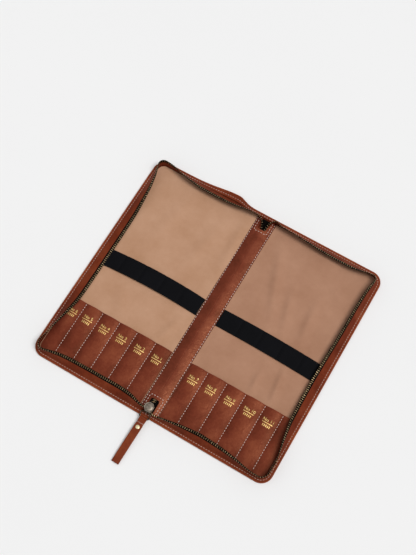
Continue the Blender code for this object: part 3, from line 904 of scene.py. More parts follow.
# %% Tails
NOTCH_Y = 0.170
TAILS = {
    ("left", "front"): (
        [(-0.0180, -0.1930, 0.0032), (-0.0105, -0.1915, 0.0040), (-0.0050, -0.1880, 0.0062)],
        [(-0.0175, -0.1873, 0.0160), (-0.0108, -0.1882, 0.0125), (-0.0046, -0.1862, 0.0092)]),
    ("right", "front"): (
        [(0.0170, -0.1932, 0.0032), (0.0090, -0.1922, 0.0040), (0.0034, -0.1884, 0.0062)],
        [(0.0165, -0.1930, 0.0178), (0.0080, -0.1924, 0.0125), (0.0028, -0.1864, 0.0092)]),
    ("left", "back"): (
        [(-0.0170, 0.1928, 0.0032), (-0.0125, 0.1895, 0.0032), (-0.0098, 0.1810, 0.0030),
         (-0.0078, 0.1700, 0.0026), (-0.0070, 0.1650, 0.0020)],
        [(-0.0170, 0.1878, 0.0172), (-0.0092, 0.1862, 0.0135), (-0.0036, 0.1790, 0.0085),
         (-0.0006, 0.1700, 0.0045), (0.0002, 0.1650, 0.0030)]),
    ("right", "back"): (
        [(0.0170, 0.1938, 0.0032), (0.0130, 0.1905, 0.0030), (0.0116, 0.1810, 0.0028),
         (0.0106, 0.1700, 0.0024), (0.0100, 0.1650, 0.0020)],
        [(0.0160, 0.1912, 0.0188), (0.0095, 0.1868, 0.0150), (0.0060, 0.1795, 0.0098),
         (0.0046, 0.1700, 0.0046), (0.0040, 0.1650, 0.0030)]),
}
for (side, end), (foot_points, top_points) in TAILS.items():
    s_start = s_back(TAIL_X) if end == "back" else s_front(TAIL_X)
    first_foot, first_top = wall_point(side, np.full(2, s_start), np.array([-WALL_BELOW, WALL_REACH]))
    feet, tops = [first_foot, *foot_points], [first_top, *top_points]

    def tail_point(q, h, out=0.0):
        """Place on the tail at q, from 0 to 1 along it, and h up it."""
        share = ((h + WALL_BELOW) / (WALL_REACH + WALL_BELOW))[:, None]
        foot, top = curve_through(feet, q), curve_through(tops, q)
        straight = first_foot + (first_top - first_foot) * share
        bow = wall_point(side, np.full_like(h, s_start), h) - straight
        along = curve_through(tops, np.clip(q + 0.02, 0, 1)) - curve_through(tops, np.clip(q - 0.02, 0, 1))
        normal = np.cross(along, top - foot)
        normal = normal / np.linalg.norm(normal, axis=1)[:, None]
        return foot + (top - foot) * share + bow * ((1 - q) ** 2)[:, None] + normal * out

    length = lengths_along(curve_through(tops, np.linspace(0, 1, 40)))[-1]
    leather = flat_grid(f"{side}_{end}_tail_leather", length, LEATHER_TOP + WALL_BELOW, 0.0016, 0.0016)
    bend_to(leather, lambda u, v: tail_point(u / length, v - WALL_BELOW))
    thicken(leather, 0.0011, 0.0002)
    dress(leather, wall_hide)
    count = max(3, round(length / TOOTH_PITCH))
    at, up = (np.arange(count) + 0.5) / count, np.full(count, TOOTH_AT)
    row = tail_point(at, up)
    tape = zip_piece(
        f"{side}_{end}_tail_zip", length, TAPE_SIZE, (0.0020, 0.0018),
        lambda u, v: tail_point(u / length, v + TAPE_LOW), frames(row, tail_point(at, up, 0.001) - row))
    for piece in (leather, tape):
        bend_at_fold(piece)
        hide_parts(f"{end}_{side}_zip_tail")
    print(f"{side} {end} tail, mm:", round(1000 * length, 1))

# %% [markdown]
# ## Lining
# The lining is one cut of tan twill in each tray, glued to the board, so it lies flat apart from soft
# hollows, and a few creases where the needles press it. A sheet of cloth could be simulated, but one that
# is glued down can't move, so its small relief is given as lumps and a list of creases. The square grid's
# corners are squeezed into round ones.

# %% Lining
LINING_LOW, LINING_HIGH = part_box("right_lining")
LINING_IN, LINING_GAP = FOLD_X - 0.0035, 0.0012  # the gap is to the foot of the wall
LINING_SIZE = (WALL_X - LINING_GAP - LINING_IN, 2 * (WALL_Y - LINING_GAP))
LINING_Z = (LINING_LOW.z + LINING_HIGH.z) / 2
# Creases: place of both ends on the tray, width and height.
CREASES = {
    "left": [(0.050, -0.085, 0.036, -0.030, 0.0070, 0.0020), (0.120, -0.080, 0.150, -0.035, 0.010, 0.0018),
             (0.080, 0.040, 0.060, 0.150, 0.012, 0.0018), (0.150, 0.060, 0.130, 0.170, 0.014, 0.0018),
             (0.024, 0.060, 0.030, 0.180, 0.008, 0.0024)],
    "right": [(0.160, -0.088, 0.150, -0.020, 0.006, 0.0042), (0.123, -0.088, 0.119, -0.040, 0.006, 0.0032),
              (0.040, 0.170, 0.096, 0.026, 0.0085, 0.0042), (0.142, 0.110, 0.152, 0.022, 0.0080, 0.0040),
              (0.095, 0.110, 0.120, 0.024, 0.0070, 0.0032), (0.150, 0.140, 0.186, 0.120, 0.007, 0.0020),
              (0.090, 0.178, 0.150, 0.172, 0.008, 0.0018)],
}


def squeeze_corner(x, y, middle_x, middle_y, radius):
    """Turns the square corners beyond a rounding's middle into round ones."""
    over_x = np.clip(x - middle_x, 0, radius)
    over_y = np.clip(np.abs(y) - middle_y, 0, radius)
    new_x = over_x * np.sqrt(1 - over_y**2 / (2 * radius**2))
    new_y = over_y * np.sqrt(1 - over_x**2 / (2 * radius**2))
    return x - over_x + new_x, np.sign(y) * (np.abs(y) - over_y + new_y)


def lining_height(side, x, y):
    """The lining's own relief."""
    height = LINING_Z + 0.00025 * (1 + lumps(x, y, 0.035, 11 * SIDES[side]))
    for x0, y0, x1, y1, width, rise in CREASES[side]:
        run = np.array([x1 - x0, y1 - y0])
        share = np.clip(((x - x0) * run[0] + (y - y0) * run[1]) / (run @ run), 0, 1)
        away = np.hypot(x - x0 - share * run[0], y - y0 - share * run[1])
        height = height + rise * np.exp(-(away / width) ** 2) * np.sin(np.pi * np.clip(share, 0.08, 0.92))
    return height


for side, sign in SIDES.items():
    lining = flat_grid(f"{side}_twill_lining", *LINING_SIZE, 0.003, 0.003)

    def on_tray(u, v):
        x, y = LINING_IN + u, v - LINING_SIZE[1] / 2
        height = lining_height(side, x, y)
        x, y = squeeze_corner(x, y, WALL_X - CORNER, WALL_Y - CORNER, CORNER - LINING_GAP)
        return np.stack([sign * x, y, height], 1)

    bend_to(lining, on_tray)
    thicken(lining, 0.0005, 0)
    dress(lining, twills[side])
    bend_at_fold(lining)
    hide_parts(f"{side}_lining")
    print(lining.name, "flat size, mm:", [round(1000 * part) for part in LINING_SIZE])

# %% [markdown]
# ## Needle slots
# A panel of polished leather is sewn down at its ends and along five lines, and is full between them, so
# each slot is a low tunnel that opens towards the elastic. The height over a slot is a sine with a sharp
# fall at the seams, which draws the groove that real stitching pulls. Panel, stitches and gilding all use
# that one height.

# %% Slots
PANEL_LOW, PANEL_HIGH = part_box("right_pocket_panel")
PANEL_GAP = 0.0022  # to the foot of the wall
PANEL_IN, PANEL_OUT = FOLD_X - 0.0002, WALL_X - PANEL_GAP
PANEL_FRONT, PANEL_MOUTH = -(WALL_Y - 0.0026), PANEL_HIGH.y
PANEL_SIZE = (PANEL_OUT - PANEL_IN, PANEL_MOUTH - PANEL_FRONT)
SEAMS = {}
for side in SIDES:
    boxes = [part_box(f"{side}_pocket_seam_{number}") for number in range(1, 6)]
    SEAMS[side] = [abs(low.x + high.x) / 2 for low, high in boxes]
SEWN_Z, SWELL, MOUTH_SWELL = 0.0045, 0.0014, 0.0024  # at a seam, over a slot, and more at its mouth
SLOT_FULLNESS = {"left": (0.9, 1.1, 1.0, 0.9, 1.05, 0.35), "right": (0.9, 1.0, 0.85, 1.1, 0.95, 0.4)}
PANEL_THICK = 0.0011


def slot_at(side, x):
    """Number of the slot at x, and how far across it x is, from 0 to 1."""
    edges = np.array([PANEL_IN, *SEAMS[side], PANEL_OUT])
    slot = np.clip(np.searchsorted(edges, x, side="right") - 1, 0, 5)
    return slot, np.clip((x - edges[slot]) / (edges[slot + 1] - edges[slot]), 0, 1)


def slot_height(side, x, y):
    """Middle of the panel's leather over a place on the tray."""
    slot, t = slot_at(side, x)
    opening = np.clip((y - PANEL_LOW.y) / (PANEL_MOUTH - PANEL_LOW.y), 0, 1)
    full = np.array(SLOT_FULLNESS[side])[slot]
    swell = (SWELL + MOUTH_SWELL * opening) * full * np.clip((y - PANEL_FRONT - 0.006) / 0.020, 0, 1)
    swell = swell * (1 + 0.25 * lumps(x, y, 0.022, 5 + SIDES[side]))
    return SEWN_Z + swell * np.sin(np.pi * t) ** 0.7 + 0.00012 * lumps(x, y, 0.006, 2)


def slot_painted_shading(side, x):
    """Painted highlight along the middle of each slot and painted shade at its seams, most of all on the
    slot's left.
    """
    _, t = slot_at(side, np.abs(x))
    t = t if side == "right" else 1 - t
    return np.sin(np.pi * t**1.25) ** 0.8 * 0.34 - 0.21


print("seams, mm from the middle:", {side: [round(1000 * x) for x in xs] for side, xs in SEAMS.items()})

# %% Panels and their seams
for side, sign in SIDES.items():
    panel = flat_grid(f"{side}_slot_panel", *PANEL_SIZE, 0.0015, 0.003)

    def on_panel(u, v):
        x, y = PANEL_IN + u, PANEL_FRONT + v
        height = slot_height(side, x, y)
        mouth = 0.0006 * lumps(x, 0 * x, 0.03, 9) * (v / PANEL_SIZE[1])
        x, y = squeeze_corner(x, y, WALL_X - CORNER, WALL_Y - CORNER, CORNER - PANEL_GAP)
        return np.stack([sign * x, y + mouth, height], 1)

    bend_to(panel, on_panel)
    thicken(panel, PANEL_THICK)
    # Painted highlight along each slot and painted shade at its seams.
    paint_shading_by(panel, lambda x, _: slot_painted_shading(side, x))
    dress(panel, pocket_hide)
    second_finish(panel, burnished, lambda face: face.normal.y > 0.7)
    bend_at_fold(panel)
    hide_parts(f"{side}_pocket_panel")

    places = []
    for x in SEAMS[side]:
        along = np.linspace(PANEL_FRONT + 0.004, PANEL_MOUTH - 0.0008, 60)
        tall = slot_height(side, np.full_like(along, x), along) + PANEL_THICK / 2 + 0.0004
        places += stitch_row(np.stack([np.full_like(along, sign * x), along, tall], 1), STITCH_PITCH)
    sewn = copies(f"{side}_slot_stitches", stitch, places)
    dress(sewn, thread)
    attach(sewn, f"{side}_cover")
    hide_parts(*[f"{side}_pocket_seam_{number}" for number in range(1, 6)])
    print(panel.name, "stitches", len(places))

# %% [markdown]
# ## Gilt marks
# Over each slot a mark is pressed through gold leaf: a slot number, a rule, and a row of short bars. The
# number is Blender's own font, made a mesh before it is placed. Each mark is laid on the leather by giving
# every point the panel's height there.

# %% Marks
MARK_Y = -0.1125
RULE = (0.0180, 0.0011)
FIGURE_TALL, FIGURE_UP, FIGURE_BOLD = 0.0078, 0.0021, 0.00018
BAR, BAR_PITCH, BAR_DOWN = (0.0013, 0.0040), 0.0029, 0.0047
GILT_THICK, GILT_LIFT = 0.00008, 0.00006
MARKED = {"left": (1, 6), "right": (7, 5)}  # first number, and how many slots carry one


def joined(pieces):
    """Joins several small meshes, and applies their places."""
    bpy.ops.object.select_all(action="DESELECT")
    for piece in pieces:
        piece.select_set(True)
    bpy.context.view_layer.objects.active = pieces[0]
    bpy.ops.object.transform_apply(location=True, rotation=True, scale=True)
    bpy.ops.object.join()
    return bpy.context.object


def flat_mark(number):
    """Number, rule and bars, flat on the floor round the origin."""
    figure = start_from(bpy.ops.object.text_add, "figure", location=(0, FIGURE_UP, 0))
    figure.data.body = f"No {number}"
    figure.data.size = FIGURE_TALL
    figure.data.align_x = "CENTER"
    figure.data.resolution_u = 2
    figure.data.offset = FIGURE_BOLD
    bpy.ops.object.convert(target="MESH")
    rule = start_from(bpy.ops.mesh.primitive_grid_add, "rule", x_subdivisions=12, y_subdivisions=1, size=1)
    rule.scale = (*RULE, 1)
    parts = [figure, rule]
    for step in range(-2, 3):
        bar = start_from(
            bpy.ops.mesh.primitive_plane_add, "bar", size=1, location=(step * BAR_PITCH, -BAR_DOWN, 0))
        bar.scale = (*BAR, 1)
        parts.append(bar)
    return joined(parts)


for side, sign in SIDES.items():
    edges = [FOLD_X, *SEAMS[side], PANEL_OUT]
    middles = [(low + high) / 2 for low, high in zip(edges, edges[1:])]
    first_number, marked = MARKED[side]
    marks = []
    for number, middle in enumerate(middles[:marked], first_number):
        mark = flat_mark(number)
        for vert in mark.data.vertices:
            x, y = sign * middle + vert.co.x, MARK_Y + vert.co.y
            height = slot_height(side, np.array([abs(x)]), np.array([y]))[0]
            vert.co = (x, y, height + PANEL_THICK / 2 + GILT_LIFT)
        marks.append(mark)
    gilding = joined(marks)
    gilding.name = gilding.data.name = f"{side}_gilt_marks"
    apply_modifier(gilding, "SOLIDIFY", thickness=GILT_THICK, offset=0)
    dress(gilding, gilt)
    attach(gilding, f"{side}_cover")
    print(gilding.name, "faces", len(gilding.data.polygons))

# %% [markdown]
# ## Elastic
# A flat black elastic crosses each tray, sewn down at both ends. It is woven with ribs along its length,
# and is tacked between the needles. With no needles in, it stands up a little in the middle. It is a
# stretched band, so a grid bent along an arch is enough.

# %% Elastic
# Middle of the band across the tray, at the spine end, halfway, and at the outer end; then its rise.
BAND_COURSE = {"left": (0.0004, 0.0023, -0.0024, 0.0040), "right": (0.0016, 0.0012, -0.0018, 0.0024)}
BAND_IN, BAND_OUT = abs(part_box("right_elastic_band")[0].x) - 0.0035, WALL_X - 0.0050
BAND_SIZE = (BAND_OUT - BAND_IN, 0.0318)
BAND_TACKS, TACK_DEEP = (0.2, 0.4, 0.6, 0.8), 0.0010
BAND_Z, BAND_THICK = 0.0043, 0.0010


def band_point(side, u, v):
    """Place on the band at u along it from the spine, and v across it."""
    t = np.clip(u / BAND_SIZE[0], 0, 1)
    near, half, far, rise = BAND_COURSE[side]
    course = near * (1 - t) * (1 - 2 * t) + 4 * half * t * (1 - t) + far * t * (2 * t - 1)
    across = v - BAND_SIZE[1] / 2
    dips = sum(np.exp(-((t - tack) / 0.012) ** 2) for tack in BAND_TACKS)
    height = BAND_Z + rise * np.sin(np.pi * t) ** 0.6 - TACK_DEEP * dips
    height = height + 0.0002 * (np.cos(across / BAND_SIZE[1] * np.pi) + lumps(u, v, 0.03, SIDES[side]))
    return np.stack([SIDES[side] * (BAND_IN + u), course + across, height], 1)


for side in SIDES:
    band = flat_grid(f"{side}_black_elastic", *BAND_SIZE, 0.0025, 0.0022)
    bend_to(band, lambda u, v: band_point(side, u, v))
    thicken(band, BAND_THICK)
    dress(band, elastic_cloth)
    tacks = []
    for tack in BAND_TACKS:
        across = np.linspace(0.001, BAND_SIZE[1] - 0.001, 40)
        line = band_point(side, np.full_like(across, tack * BAND_SIZE[0]), across) + (0, 0, 0.0006)
        tacks += stitch_row(line, 0.0045)
    sewn = copies(f"{side}_elastic_tacks", stitch, tacks)
    dress(sewn, elastic_cloth)
    bend_at_fold(band)
    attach(sewn, f"{side}_cover")
    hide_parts(f"{side}_elastic_band")
    print(band.name, "flat size, mm:", [round(1000 * part) for part in BAND_SIZE])

# %% [markdown]
# ## Spine strip
# A strip of leather covers the joint between the two linings. It is rolled: thick and round along its
# middle, thin at its sewn edges. A notch at each end lets the zip through. The strip is a bent grid, and a
# block with two round corners cuts each notch. Two rows of stitches hold its edges and a third goes round
# each notch.

# %% Strip
STRIP_LOW, STRIP_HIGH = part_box("spine_inner_strip")
STRIP_HALF = STRIP_HIGH.x
STRIP_THICK, STRIP_Z, STRIP_CROWN = 0.0011, 0.0037, 0.0036
NOTCH_HALF = 0.0074
NOTCH_ENDS = {"front": -0.168, "back": NOTCH_Y}


def strip_height(x, y):
    """Middle of the strip's leather."""
    crown = np.clip(1 - (x / STRIP_HALF) ** 2, 0, 1) ** 0.85
    return STRIP_Z + STRIP_CROWN * crown + 0.00022 * lumps(x, y, 0.020, 21) * crown


def on_strip(u, v):
    """Bends the strip over the spine."""
    x, y = u - STRIP_HALF, v + STRIP_LOW.y
    return np.stack([x, y, strip_height(x, y)], 1)


strip = flat_grid("spine_strip", 2 * STRIP_HALF, STRIP_HIGH.y - STRIP_LOW.y, 0.0015, 0.004)
bend_to(strip, on_strip)
thicken(strip, STRIP_THICK)
BLOCK_Z = 0.005
for end, notch_y in NOTCH_ENDS.items():
    away = 0.04 * np.sign(notch_y)
    block = start_from(
        bpy.ops.mesh.primitive_cube_add, "notch_block", size=1, location=(0, notch_y + away / 2, BLOCK_Z))
    bpy.ops.transform.resize(value=(2 * NOTCH_HALF, abs(away), 0.02))
    bpy.ops.object.transform_apply(location=True, rotation=False, scale=True)
    pick(block, "EDGE", lambda co: abs(co.z - BLOCK_Z) < 0.001 and abs(co.y - notch_y) < 0.001)
    bpy.ops.mesh.bevel(offset=0.003, segments=5, affect="EDGES")
    bpy.ops.object.mode_set(mode="OBJECT")
    apply_modifier(strip, "BOOLEAN", object=block, operation="DIFFERENCE", solver="EXACT")
    bpy.data.objects.remove(block)
smooth(strip, 0.7)
dress(strip, spine_hide)


def strip_painted_shading(x, y):
    """Painted highlight right of the middle and painted shade left of it; darker at the sewn edges, and
    lightest at the lip of the back notch.
    """
    # Painted highlight right of the strip's middle, and painted shade left of it.
    painted_light_across = 0.24 * np.exp(-((x - 0.0050) / 0.0050) ** 2) - 0.06 * np.exp(-((x + 0.0070) / 0.0070) ** 2)
    lip = 0.35 * np.exp(-((y - NOTCH_ENDS["back"] + 0.004) / 0.006) ** 2) * (np.abs(x) < 0.011)
    return painted_light_across + lip - 0.12 - 0.22 * (np.abs(x) > 0.0150)


# Paints the strip's highlight and shade into its colour.
paint_shading_by(strip, strip_painted_shading)
print(strip.name, "mm:", [round(1000 * part) for part in strip.dimensions])

# %% Two halves of the strip
# The strip reaches over both folds, so it is cut along its middle, which never moves.
for side, sign in SIDES.items():
    half = strip
    if side == "left":
        only(strip)
        bpy.ops.object.duplicate()
        half = bpy.context.object
    only(half)
    bpy.ops.object.mode_set(mode="EDIT")
    bpy.ops.mesh.select_all(action="SELECT")
    bpy.ops.mesh.bisect(plane_co=(0, 0, 0), plane_no=(sign, 0, 0), use_fill=True, clear_inner=True)
    bpy.ops.object.mode_set(mode="OBJECT")
    half.name = half.data.name = f"{side}_spine_strip"
    bend_at_fold(half)
    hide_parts("spine_inner_strip")
    print(half.name, "faces", len(half.data.polygons))

# %% Stitches on the spine
SPINE_PITCH = 0.0050
ROW_X, ROUND_X, ROUND_PAST, ROUND_CORNER = 0.0161, 0.0120, 0.0050, 0.003
along = np.linspace(STRIP_LOW.y + 0.001, STRIP_HIGH.y - 0.001, 120)
rows = [np.stack([np.full_like(along, x), along], 1) for x in (-ROW_X, ROW_X)]
for notch_y in NOTCH_ENDS.values():
    away = np.sign(notch_y)
    turn_y, tip = notch_y - away * ROUND_PAST, away * (STRIP_HIGH.y - 0.001)
    corner = [(ROUND_X - ROUND_CORNER * in_x, turn_y + away * ROUND_CORNER * in_y)
              for in_x, in_y in ((1, 0), (0.3, 0.3), (0, 1))]
    right_half = [*corner, (ROUND_X, tip)]
    bends = [(-x, y) for x, y in reversed(right_half)] + right_half
    far = lengths_along(bends)
    at = np.linspace(0, far[-1], 160)
    rows.append(np.stack([np.interp(at, far, part) for part in np.transpose(bends)], 1))
places = []
for row in rows:
    tall = strip_height(row[:, 0], row[:, 1]) + STRIP_THICK / 2 + 0.0002
    places += stitch_row(np.column_stack([row, tall]), SPINE_PITCH)
for side, sign in SIDES.items():
    own = [place for place in places if (place.translation.x > 0) == (sign > 0)]
    sewn = copies(f"{side}_spine_stitches", stitch, own)
    dress(sewn, thread)
    bend_at_fold(sewn)
print("spine stitches:", len(places))

# %% Tape ends and painted shade in the notches
# The zip's tapes are folded under the strip's ends. This near-black sheet is that tape, and it also stands
# for the shade inside the notches, as painted shade.
TAPE_PAST = 0.0010  # the folded tape is wider than the notch by this much on each side
TAPE_END, TAPE_Z = WALL_Y - 0.0015, 0.0024
for end, notch_y in NOTCH_ENDS.items():
    away = np.sign(notch_y)
    reach = WALL_Y - abs(notch_y) + 0.0030
    under = flat_grid(f"{end}_notch_tape_and_shade", 2 * (NOTCH_HALF + TAPE_PAST), reach, 0.002, 0.003)
    bend_to(under, lambda u, v: np.stack(
        [u - NOTCH_HALF - TAPE_PAST, away * (TAPE_END - v), TAPE_Z + 0.0001 * lumps(u, v, 0.006, 4)], 1))
    thicken(under, TAPE, 0)
    dress(under, zip_tape)
    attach(under, "spine")
    print(under.name, "reaches under the strip, mm:", round(1000 * reach))

# %% [markdown]
# ## Closed end of the zip
# Behind the slider the two rows of teeth are locked together, and this short chain goes down into the notch
# and under the strip. Two rows of the same tooth, half a pitch apart, make it. The tapes under them are one
# strip, arched a little.

# %% Chain
PULL_X = JOINTS["ring_swing"]["pos_m"][0]
CHAIN = [(PULL_X + x, y, z) for x, y, z in (
    (0, -0.1800, 0.0078), (0.0002, -0.1722, 0.0074), (0.0006, -0.1680, 0.0056), (0.0010, -0.1640, 0.0032))]
CHAIN_WIDTH = 0.0130
CHAIN_ARCH = 12  # per metre: how much the two tapes droop away from the teeth
chain_long = lengths_along(curve_through(CHAIN, np.linspace(0, 1, 60)))[-1]


def on_chain(u, v):
    """Bends the two joined tapes down into the notch."""
    across = v - CHAIN_WIDTH / 2
    arch = -CHAIN_ARCH * across**2 - TAPE
    return curve_through(CHAIN, u / chain_long) + np.stack([across, 0 * v, arch], 1)


locked = []
count = round(chain_long / TOOTH_PITCH)
for shift, step_aside in ((0.0, -0.0012), (0.5, 0.0012)):
    line = curve_through(CHAIN, (np.arange(count) + 0.25 + shift / 2) / count) + (step_aside, 0, 0)
    locked += frames(line, (0, 0.3, 1))
chain = zip_piece("front_zip_chain", chain_long, CHAIN_WIDTH, (0.002, 0.003), on_chain, locked)
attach(chain, "spine")
print("closed chain, mm:", round(1000 * chain_long, 1), "teeth", len(locked))

# %% [markdown]
# ## Slider, plate and lug
# The slider is cast in two wings joined by a web, with a neck that carries an eight-sided plate. Casting
# rounds every edge, so the wings are blocks with generous bevels, narrowed at the rear where the two rows
# of teeth come out as one. The plate is a low eight-sided button: its face is inset twice, raised, and
# bevelled, so its rim catches the light.

# %% Slider
BODY_LOW, BODY_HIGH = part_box("zip_slider")


def cast_block(name, low, high, rear=1.0, soften=0.0006):
    """A block between two corners, narrowed at the rear by that share, with round edges."""
    low, high = Vector(low), Vector(high)
    item = start_from(bpy.ops.mesh.primitive_cube_add, name, size=1, location=(low + high) / 2)
    bpy.ops.transform.resize(value=high - low)
    bpy.ops.object.transform_apply(location=True, rotation=False, scale=True)
    for vert in item.data.vertices:
        if vert.co.y > (low.y + high.y) / 2:
            vert.co.x = PULL_X + (vert.co.x - PULL_X) * rear
    apply_modifier(item, "BEVEL", width=soften, segments=3)
    return item


foot, front, rear = BODY_LOW.z, BODY_LOW.y, BODY_HIGH.y
# Name, half its width, front, rear, low and high, and the share of its width that is left at the rear.
CAST = (
    ("slider_low_wing", BODY_HIGH.x - PULL_X, front, rear, foot, foot + 0.0018, 0.7),
    ("slider_high_wing", BODY_HIGH.x - PULL_X, front, rear, foot + 0.0047, foot + 0.0065, 0.7),
    ("slider_web", 0.0015, front + 0.0004, front + 0.0050, foot + 0.0010, foot + 0.0055, 0.6),
    ("slider_neck", 0.0025, front + 0.0015, rear - 0.0015, foot + 0.0060, BODY_HIGH.z, 0.8),
)
slider = joined([
    cast_block(name, (PULL_X - half, near, low), (PULL_X + half, far, high), narrow)
    for name, half, near, far, low, high, narrow in CAST])
slider.name = slider.data.name = "slider_body"
smooth(slider)
dress(slider, old_nickel)
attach(slider, "slider")
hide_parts("zip_slider")
print("slider, mm:", [round(1000 * part, 1) for part in slider.dimensions])

# %% Plate
PLATE_LOW, PLATE_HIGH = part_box("slider_plate")
PLATE_STEPS = ((0.0012, -0.0004), (0.0006, 0.0008), (0.0030, 0.0002))  # inset, then up
plate_radius = 1.1 * (PLATE_HIGH.x - PLATE_LOW.x) / 2 / np.cos(np.pi / 8)
plate = start_from(
    bpy.ops.mesh.primitive_cylinder_add, "octagon_plate", vertices=8, radius=plate_radius,
    depth=PLATE_HIGH.z - PLATE_LOW.z, location=(PLATE_LOW + PLATE_HIGH) / 2, rotation=(0, 0, np.pi / 8))
bpy.ops.object.transform_apply(location=True, rotation=True, scale=True)
pick(plate, "FACE", lambda normal: normal.z > 0.9)
for inward, upward in PLATE_STEPS:
    bpy.ops.mesh.inset(thickness=inward)
    bpy.ops.transform.translate(value=(0, 0, upward))
bpy.ops.object.mode_set(mode="OBJECT")
apply_modifier(plate, "BEVEL", width=0.00025, segments=2, limit_method="ANGLE", angle_limit=0.3)
smooth(plate)
dress(plate, old_nickel)
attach(plate, "slider")
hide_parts("slider_plate")
print("plate, mm:", round(2000 * plate_radius, 1), "faces", len(plate.data.polygons))

# %% Lug
PIVOT = Vector(JOINTS["ring_swing"]["pos_m"])
STEM_HALF = 0.0012
eye = start_from(
    bpy.ops.mesh.primitive_torus_add, "lug_eye", major_radius=0.0017, minor_radius=0.00052,
    major_segments=24, minor_segments=10, location=PIVOT, rotation=(0, np.pi / 2, 0))
stem = cast_block("lug_stem", (PULL_X - STEM_HALF, PIVOT.y + 0.0016, PIVOT.z - 0.0009),
                  (PULL_X + STEM_HALF, front + 0.0006, PIVOT.z + 0.0007), 1.0, 0.0003)
lug = joined([eye, stem])
lug.name = lug.data.name = "slider_eye"
smooth(lug, 0.8)
dress(lug, old_nickel)
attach(lug, "slider")
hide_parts("slider_lug")
print("lug reaches forward, mm:", round(1000 * (front - PIVOT.y), 1))

# %% [markdown]
# ## Ring and tab
# The ring is worn bronze wire bent to a rounded oblong: a circle of points stretched to that shape, made a
# curve with a round bevel, and made a mesh again. The tab is one strap folded round the ring's front bar,
# glued to itself, cross-stitched close to the bar and riveted lower down. It is a grid bent along the fold.

# %% Ring
BAR_AT = Vector(JOINTS["tab_swing"]["pos_m"])
RING_LOW, RING_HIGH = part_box("pull_ring")
WIRE = 0.0009
SQUARENESS = 0.45  # 1 is an ellipse, and less is more of a box
ring_reach = (BAR_AT - PIVOT).length
ring_droop = np.arctan2(PIVOT.z - BAR_AT.z, PIVOT.y - BAR_AT.y)
ring_half = (RING_HIGH.x - RING_LOW.x) / 2 - WIRE


def rounded(value):
    """A sine or cosine pushed outwards, which turns a circle into an oblong with round corners."""
    return np.sign(value) * abs(value) ** SQUARENESS


ring = start_from(bpy.ops.mesh.primitive_circle_add, "pull_ring_wire", vertices=48, radius=1)
for vert in ring.data.vertices:
    angle = np.arctan2(vert.co.y, vert.co.x)
    vert.co.x = ring_half * rounded(np.cos(angle))
    vert.co.y = ring_reach / 2 * rounded(np.sin(angle)) - ring_reach / 2
bpy.ops.object.convert(target="CURVE")
ring = bpy.context.object
ring.data.bevel_depth = WIRE
ring.data.bevel_resolution = 3
bpy.ops.object.convert(target="MESH")
ring = bpy.context.object
ring.data.transform(Matrix.Translation(PIVOT) @ Matrix.Rotation(ring_droop, 4, "X"))
ring.name = ring.data.name = "pull_ring_wire"
bpy.ops.object.shade_smooth()
dress(ring, ring_brass)
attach(ring, "ring")
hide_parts("pull_ring")
print("ring, mm:", round(2000 * (ring_half + WIRE), 1), "wide, faces", len(ring.data.polygons))

# %% Tab
TAB_LOW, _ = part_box("pull_tab")
TAB_WIDTH, TAB_YAW = 0.0126, np.radians(-1.6)
LAYER, EYE, EYE_END = 0.0011, 0.00195, 0.006  # one layer, the loop round the bar, and its end
tab_reach = (BAR_AT.y - TAB_LOW.y) * 0.999
tab_droop = np.arctan2(BAR_AT.z - 0.0015, tab_reach)
round_eye = np.radians(np.linspace(155, -155, 24))
fold_y = np.concatenate([[-tab_reach, -EYE_END], EYE * -np.cos(round_eye + np.pi), [-EYE_END, -tab_reach]])
fold_z = np.concatenate([[LAYER / 2 + 0.00005] * 2, EYE * np.sin(round_eye), [-LAYER / 2 - 0.00005] * 2])
fold_far = lengths_along(np.stack([fold_y, fold_z], 1))
TAB_TURN = Matrix.Rotation(TAB_YAW, 4, "Z") @ Matrix.Rotation(tab_droop, 4, "X")
TAB_PLACE = Matrix.Translation(BAR_AT) @ TAB_TURN


def on_tab(points):
    """Takes points from the flat tab's own space to their place."""
    turn = np.array(TAB_PLACE.to_3x3())
    return points @ turn.T + np.array(TAB_PLACE.translation)


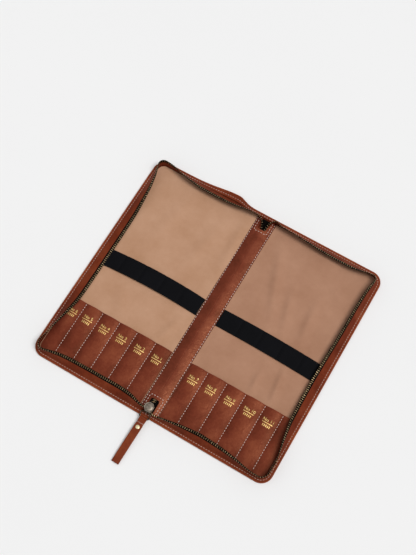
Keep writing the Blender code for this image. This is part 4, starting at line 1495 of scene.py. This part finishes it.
def fold_tab(u, v):
    """Bends the strap along its fold, with soft waves along it."""
    y, z = np.interp(u, fold_far, fold_y), np.interp(u, fold_far, fold_z)
    across = v - TAB_WIDTH / 2
    fullness = np.clip((-y - 0.008) / 0.02, 0, 1)
    sag = 0.0010 * np.sin(np.clip(-y / tab_reach, 0, 1) * np.pi) + 0.0003 * lumps(y, 0 * y, 0.02, 31)
    narrow = 1 - 0.06 * np.exp(-((y + 0.009) / 0.003) ** 2)
    crown = 0.0003 * np.sign(z) * np.cos(across / TAB_WIDTH * np.pi)
    return on_tab(np.stack([across * narrow, y, z + crown * fullness + sag * fullness], 1))


tab = flat_grid("pull_tab_strap", fold_far[-1], TAB_WIDTH, 0.0012, 0.0012)
bend_to(tab, fold_tab)
thicken(tab, LAYER)
dress(tab, chestnut)
second_finish(tab, burnished, lambda face: abs(face.normal.x) > 0.7)
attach(tab, "tab")
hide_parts("pull_tab")

CROSS_AT = -0.0088
cross = []
for x in np.linspace(-0.0048, 0.0048, 6):
    cross.append(TAB_PLACE @ Matrix.Translation((x, CROSS_AT, LAYER + 0.0003)) @ Matrix.Scale(0.55, 4))
sewn = copies("tab_cross_stitch", stitch, cross)
dress(sewn, thread)
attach(sewn, "tab")
print("strap before folding, mm:", round(1000 * fold_far[-1]), "x", round(1000 * TAB_WIDTH, 1))

# %% Rivet
RIVET_LOW, RIVET_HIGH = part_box("tab_rivet")
rivet_radius = (RIVET_HIGH.x - RIVET_LOW.x) / 2
rivet_reach = BAR_AT.y - (RIVET_HIGH.y + RIVET_LOW.y) / 2
rivet = start_from(
    bpy.ops.mesh.primitive_cylinder_add, "tab_rivet_cap", vertices=32, radius=rivet_radius,
    depth=2 * LAYER + 0.0020)
pick(rivet, "EDGE", lambda co: abs(co.z) > LAYER)
bpy.ops.mesh.bevel(offset=0.0008, segments=4, affect="EDGES")
bpy.ops.object.mode_set(mode="OBJECT")
rivet.data.transform(TAB_PLACE @ Matrix.Translation((0, -rivet_reach, 0.0003)))
smooth(rivet, 0.8)
dress(rivet, rivet_brass)
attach(rivet, "tab")
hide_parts("tab_rivet")
print("rivet, mm:", round(2000 * rivet_radius, 1), "down the tab, mm:", round(1000 * rivet_reach, 1))

# %% [markdown]
# ## Clearing up
# The two models that were copied go.

# %% Models
for model in (stitch, tooth):
    bpy.data.objects.remove(model)
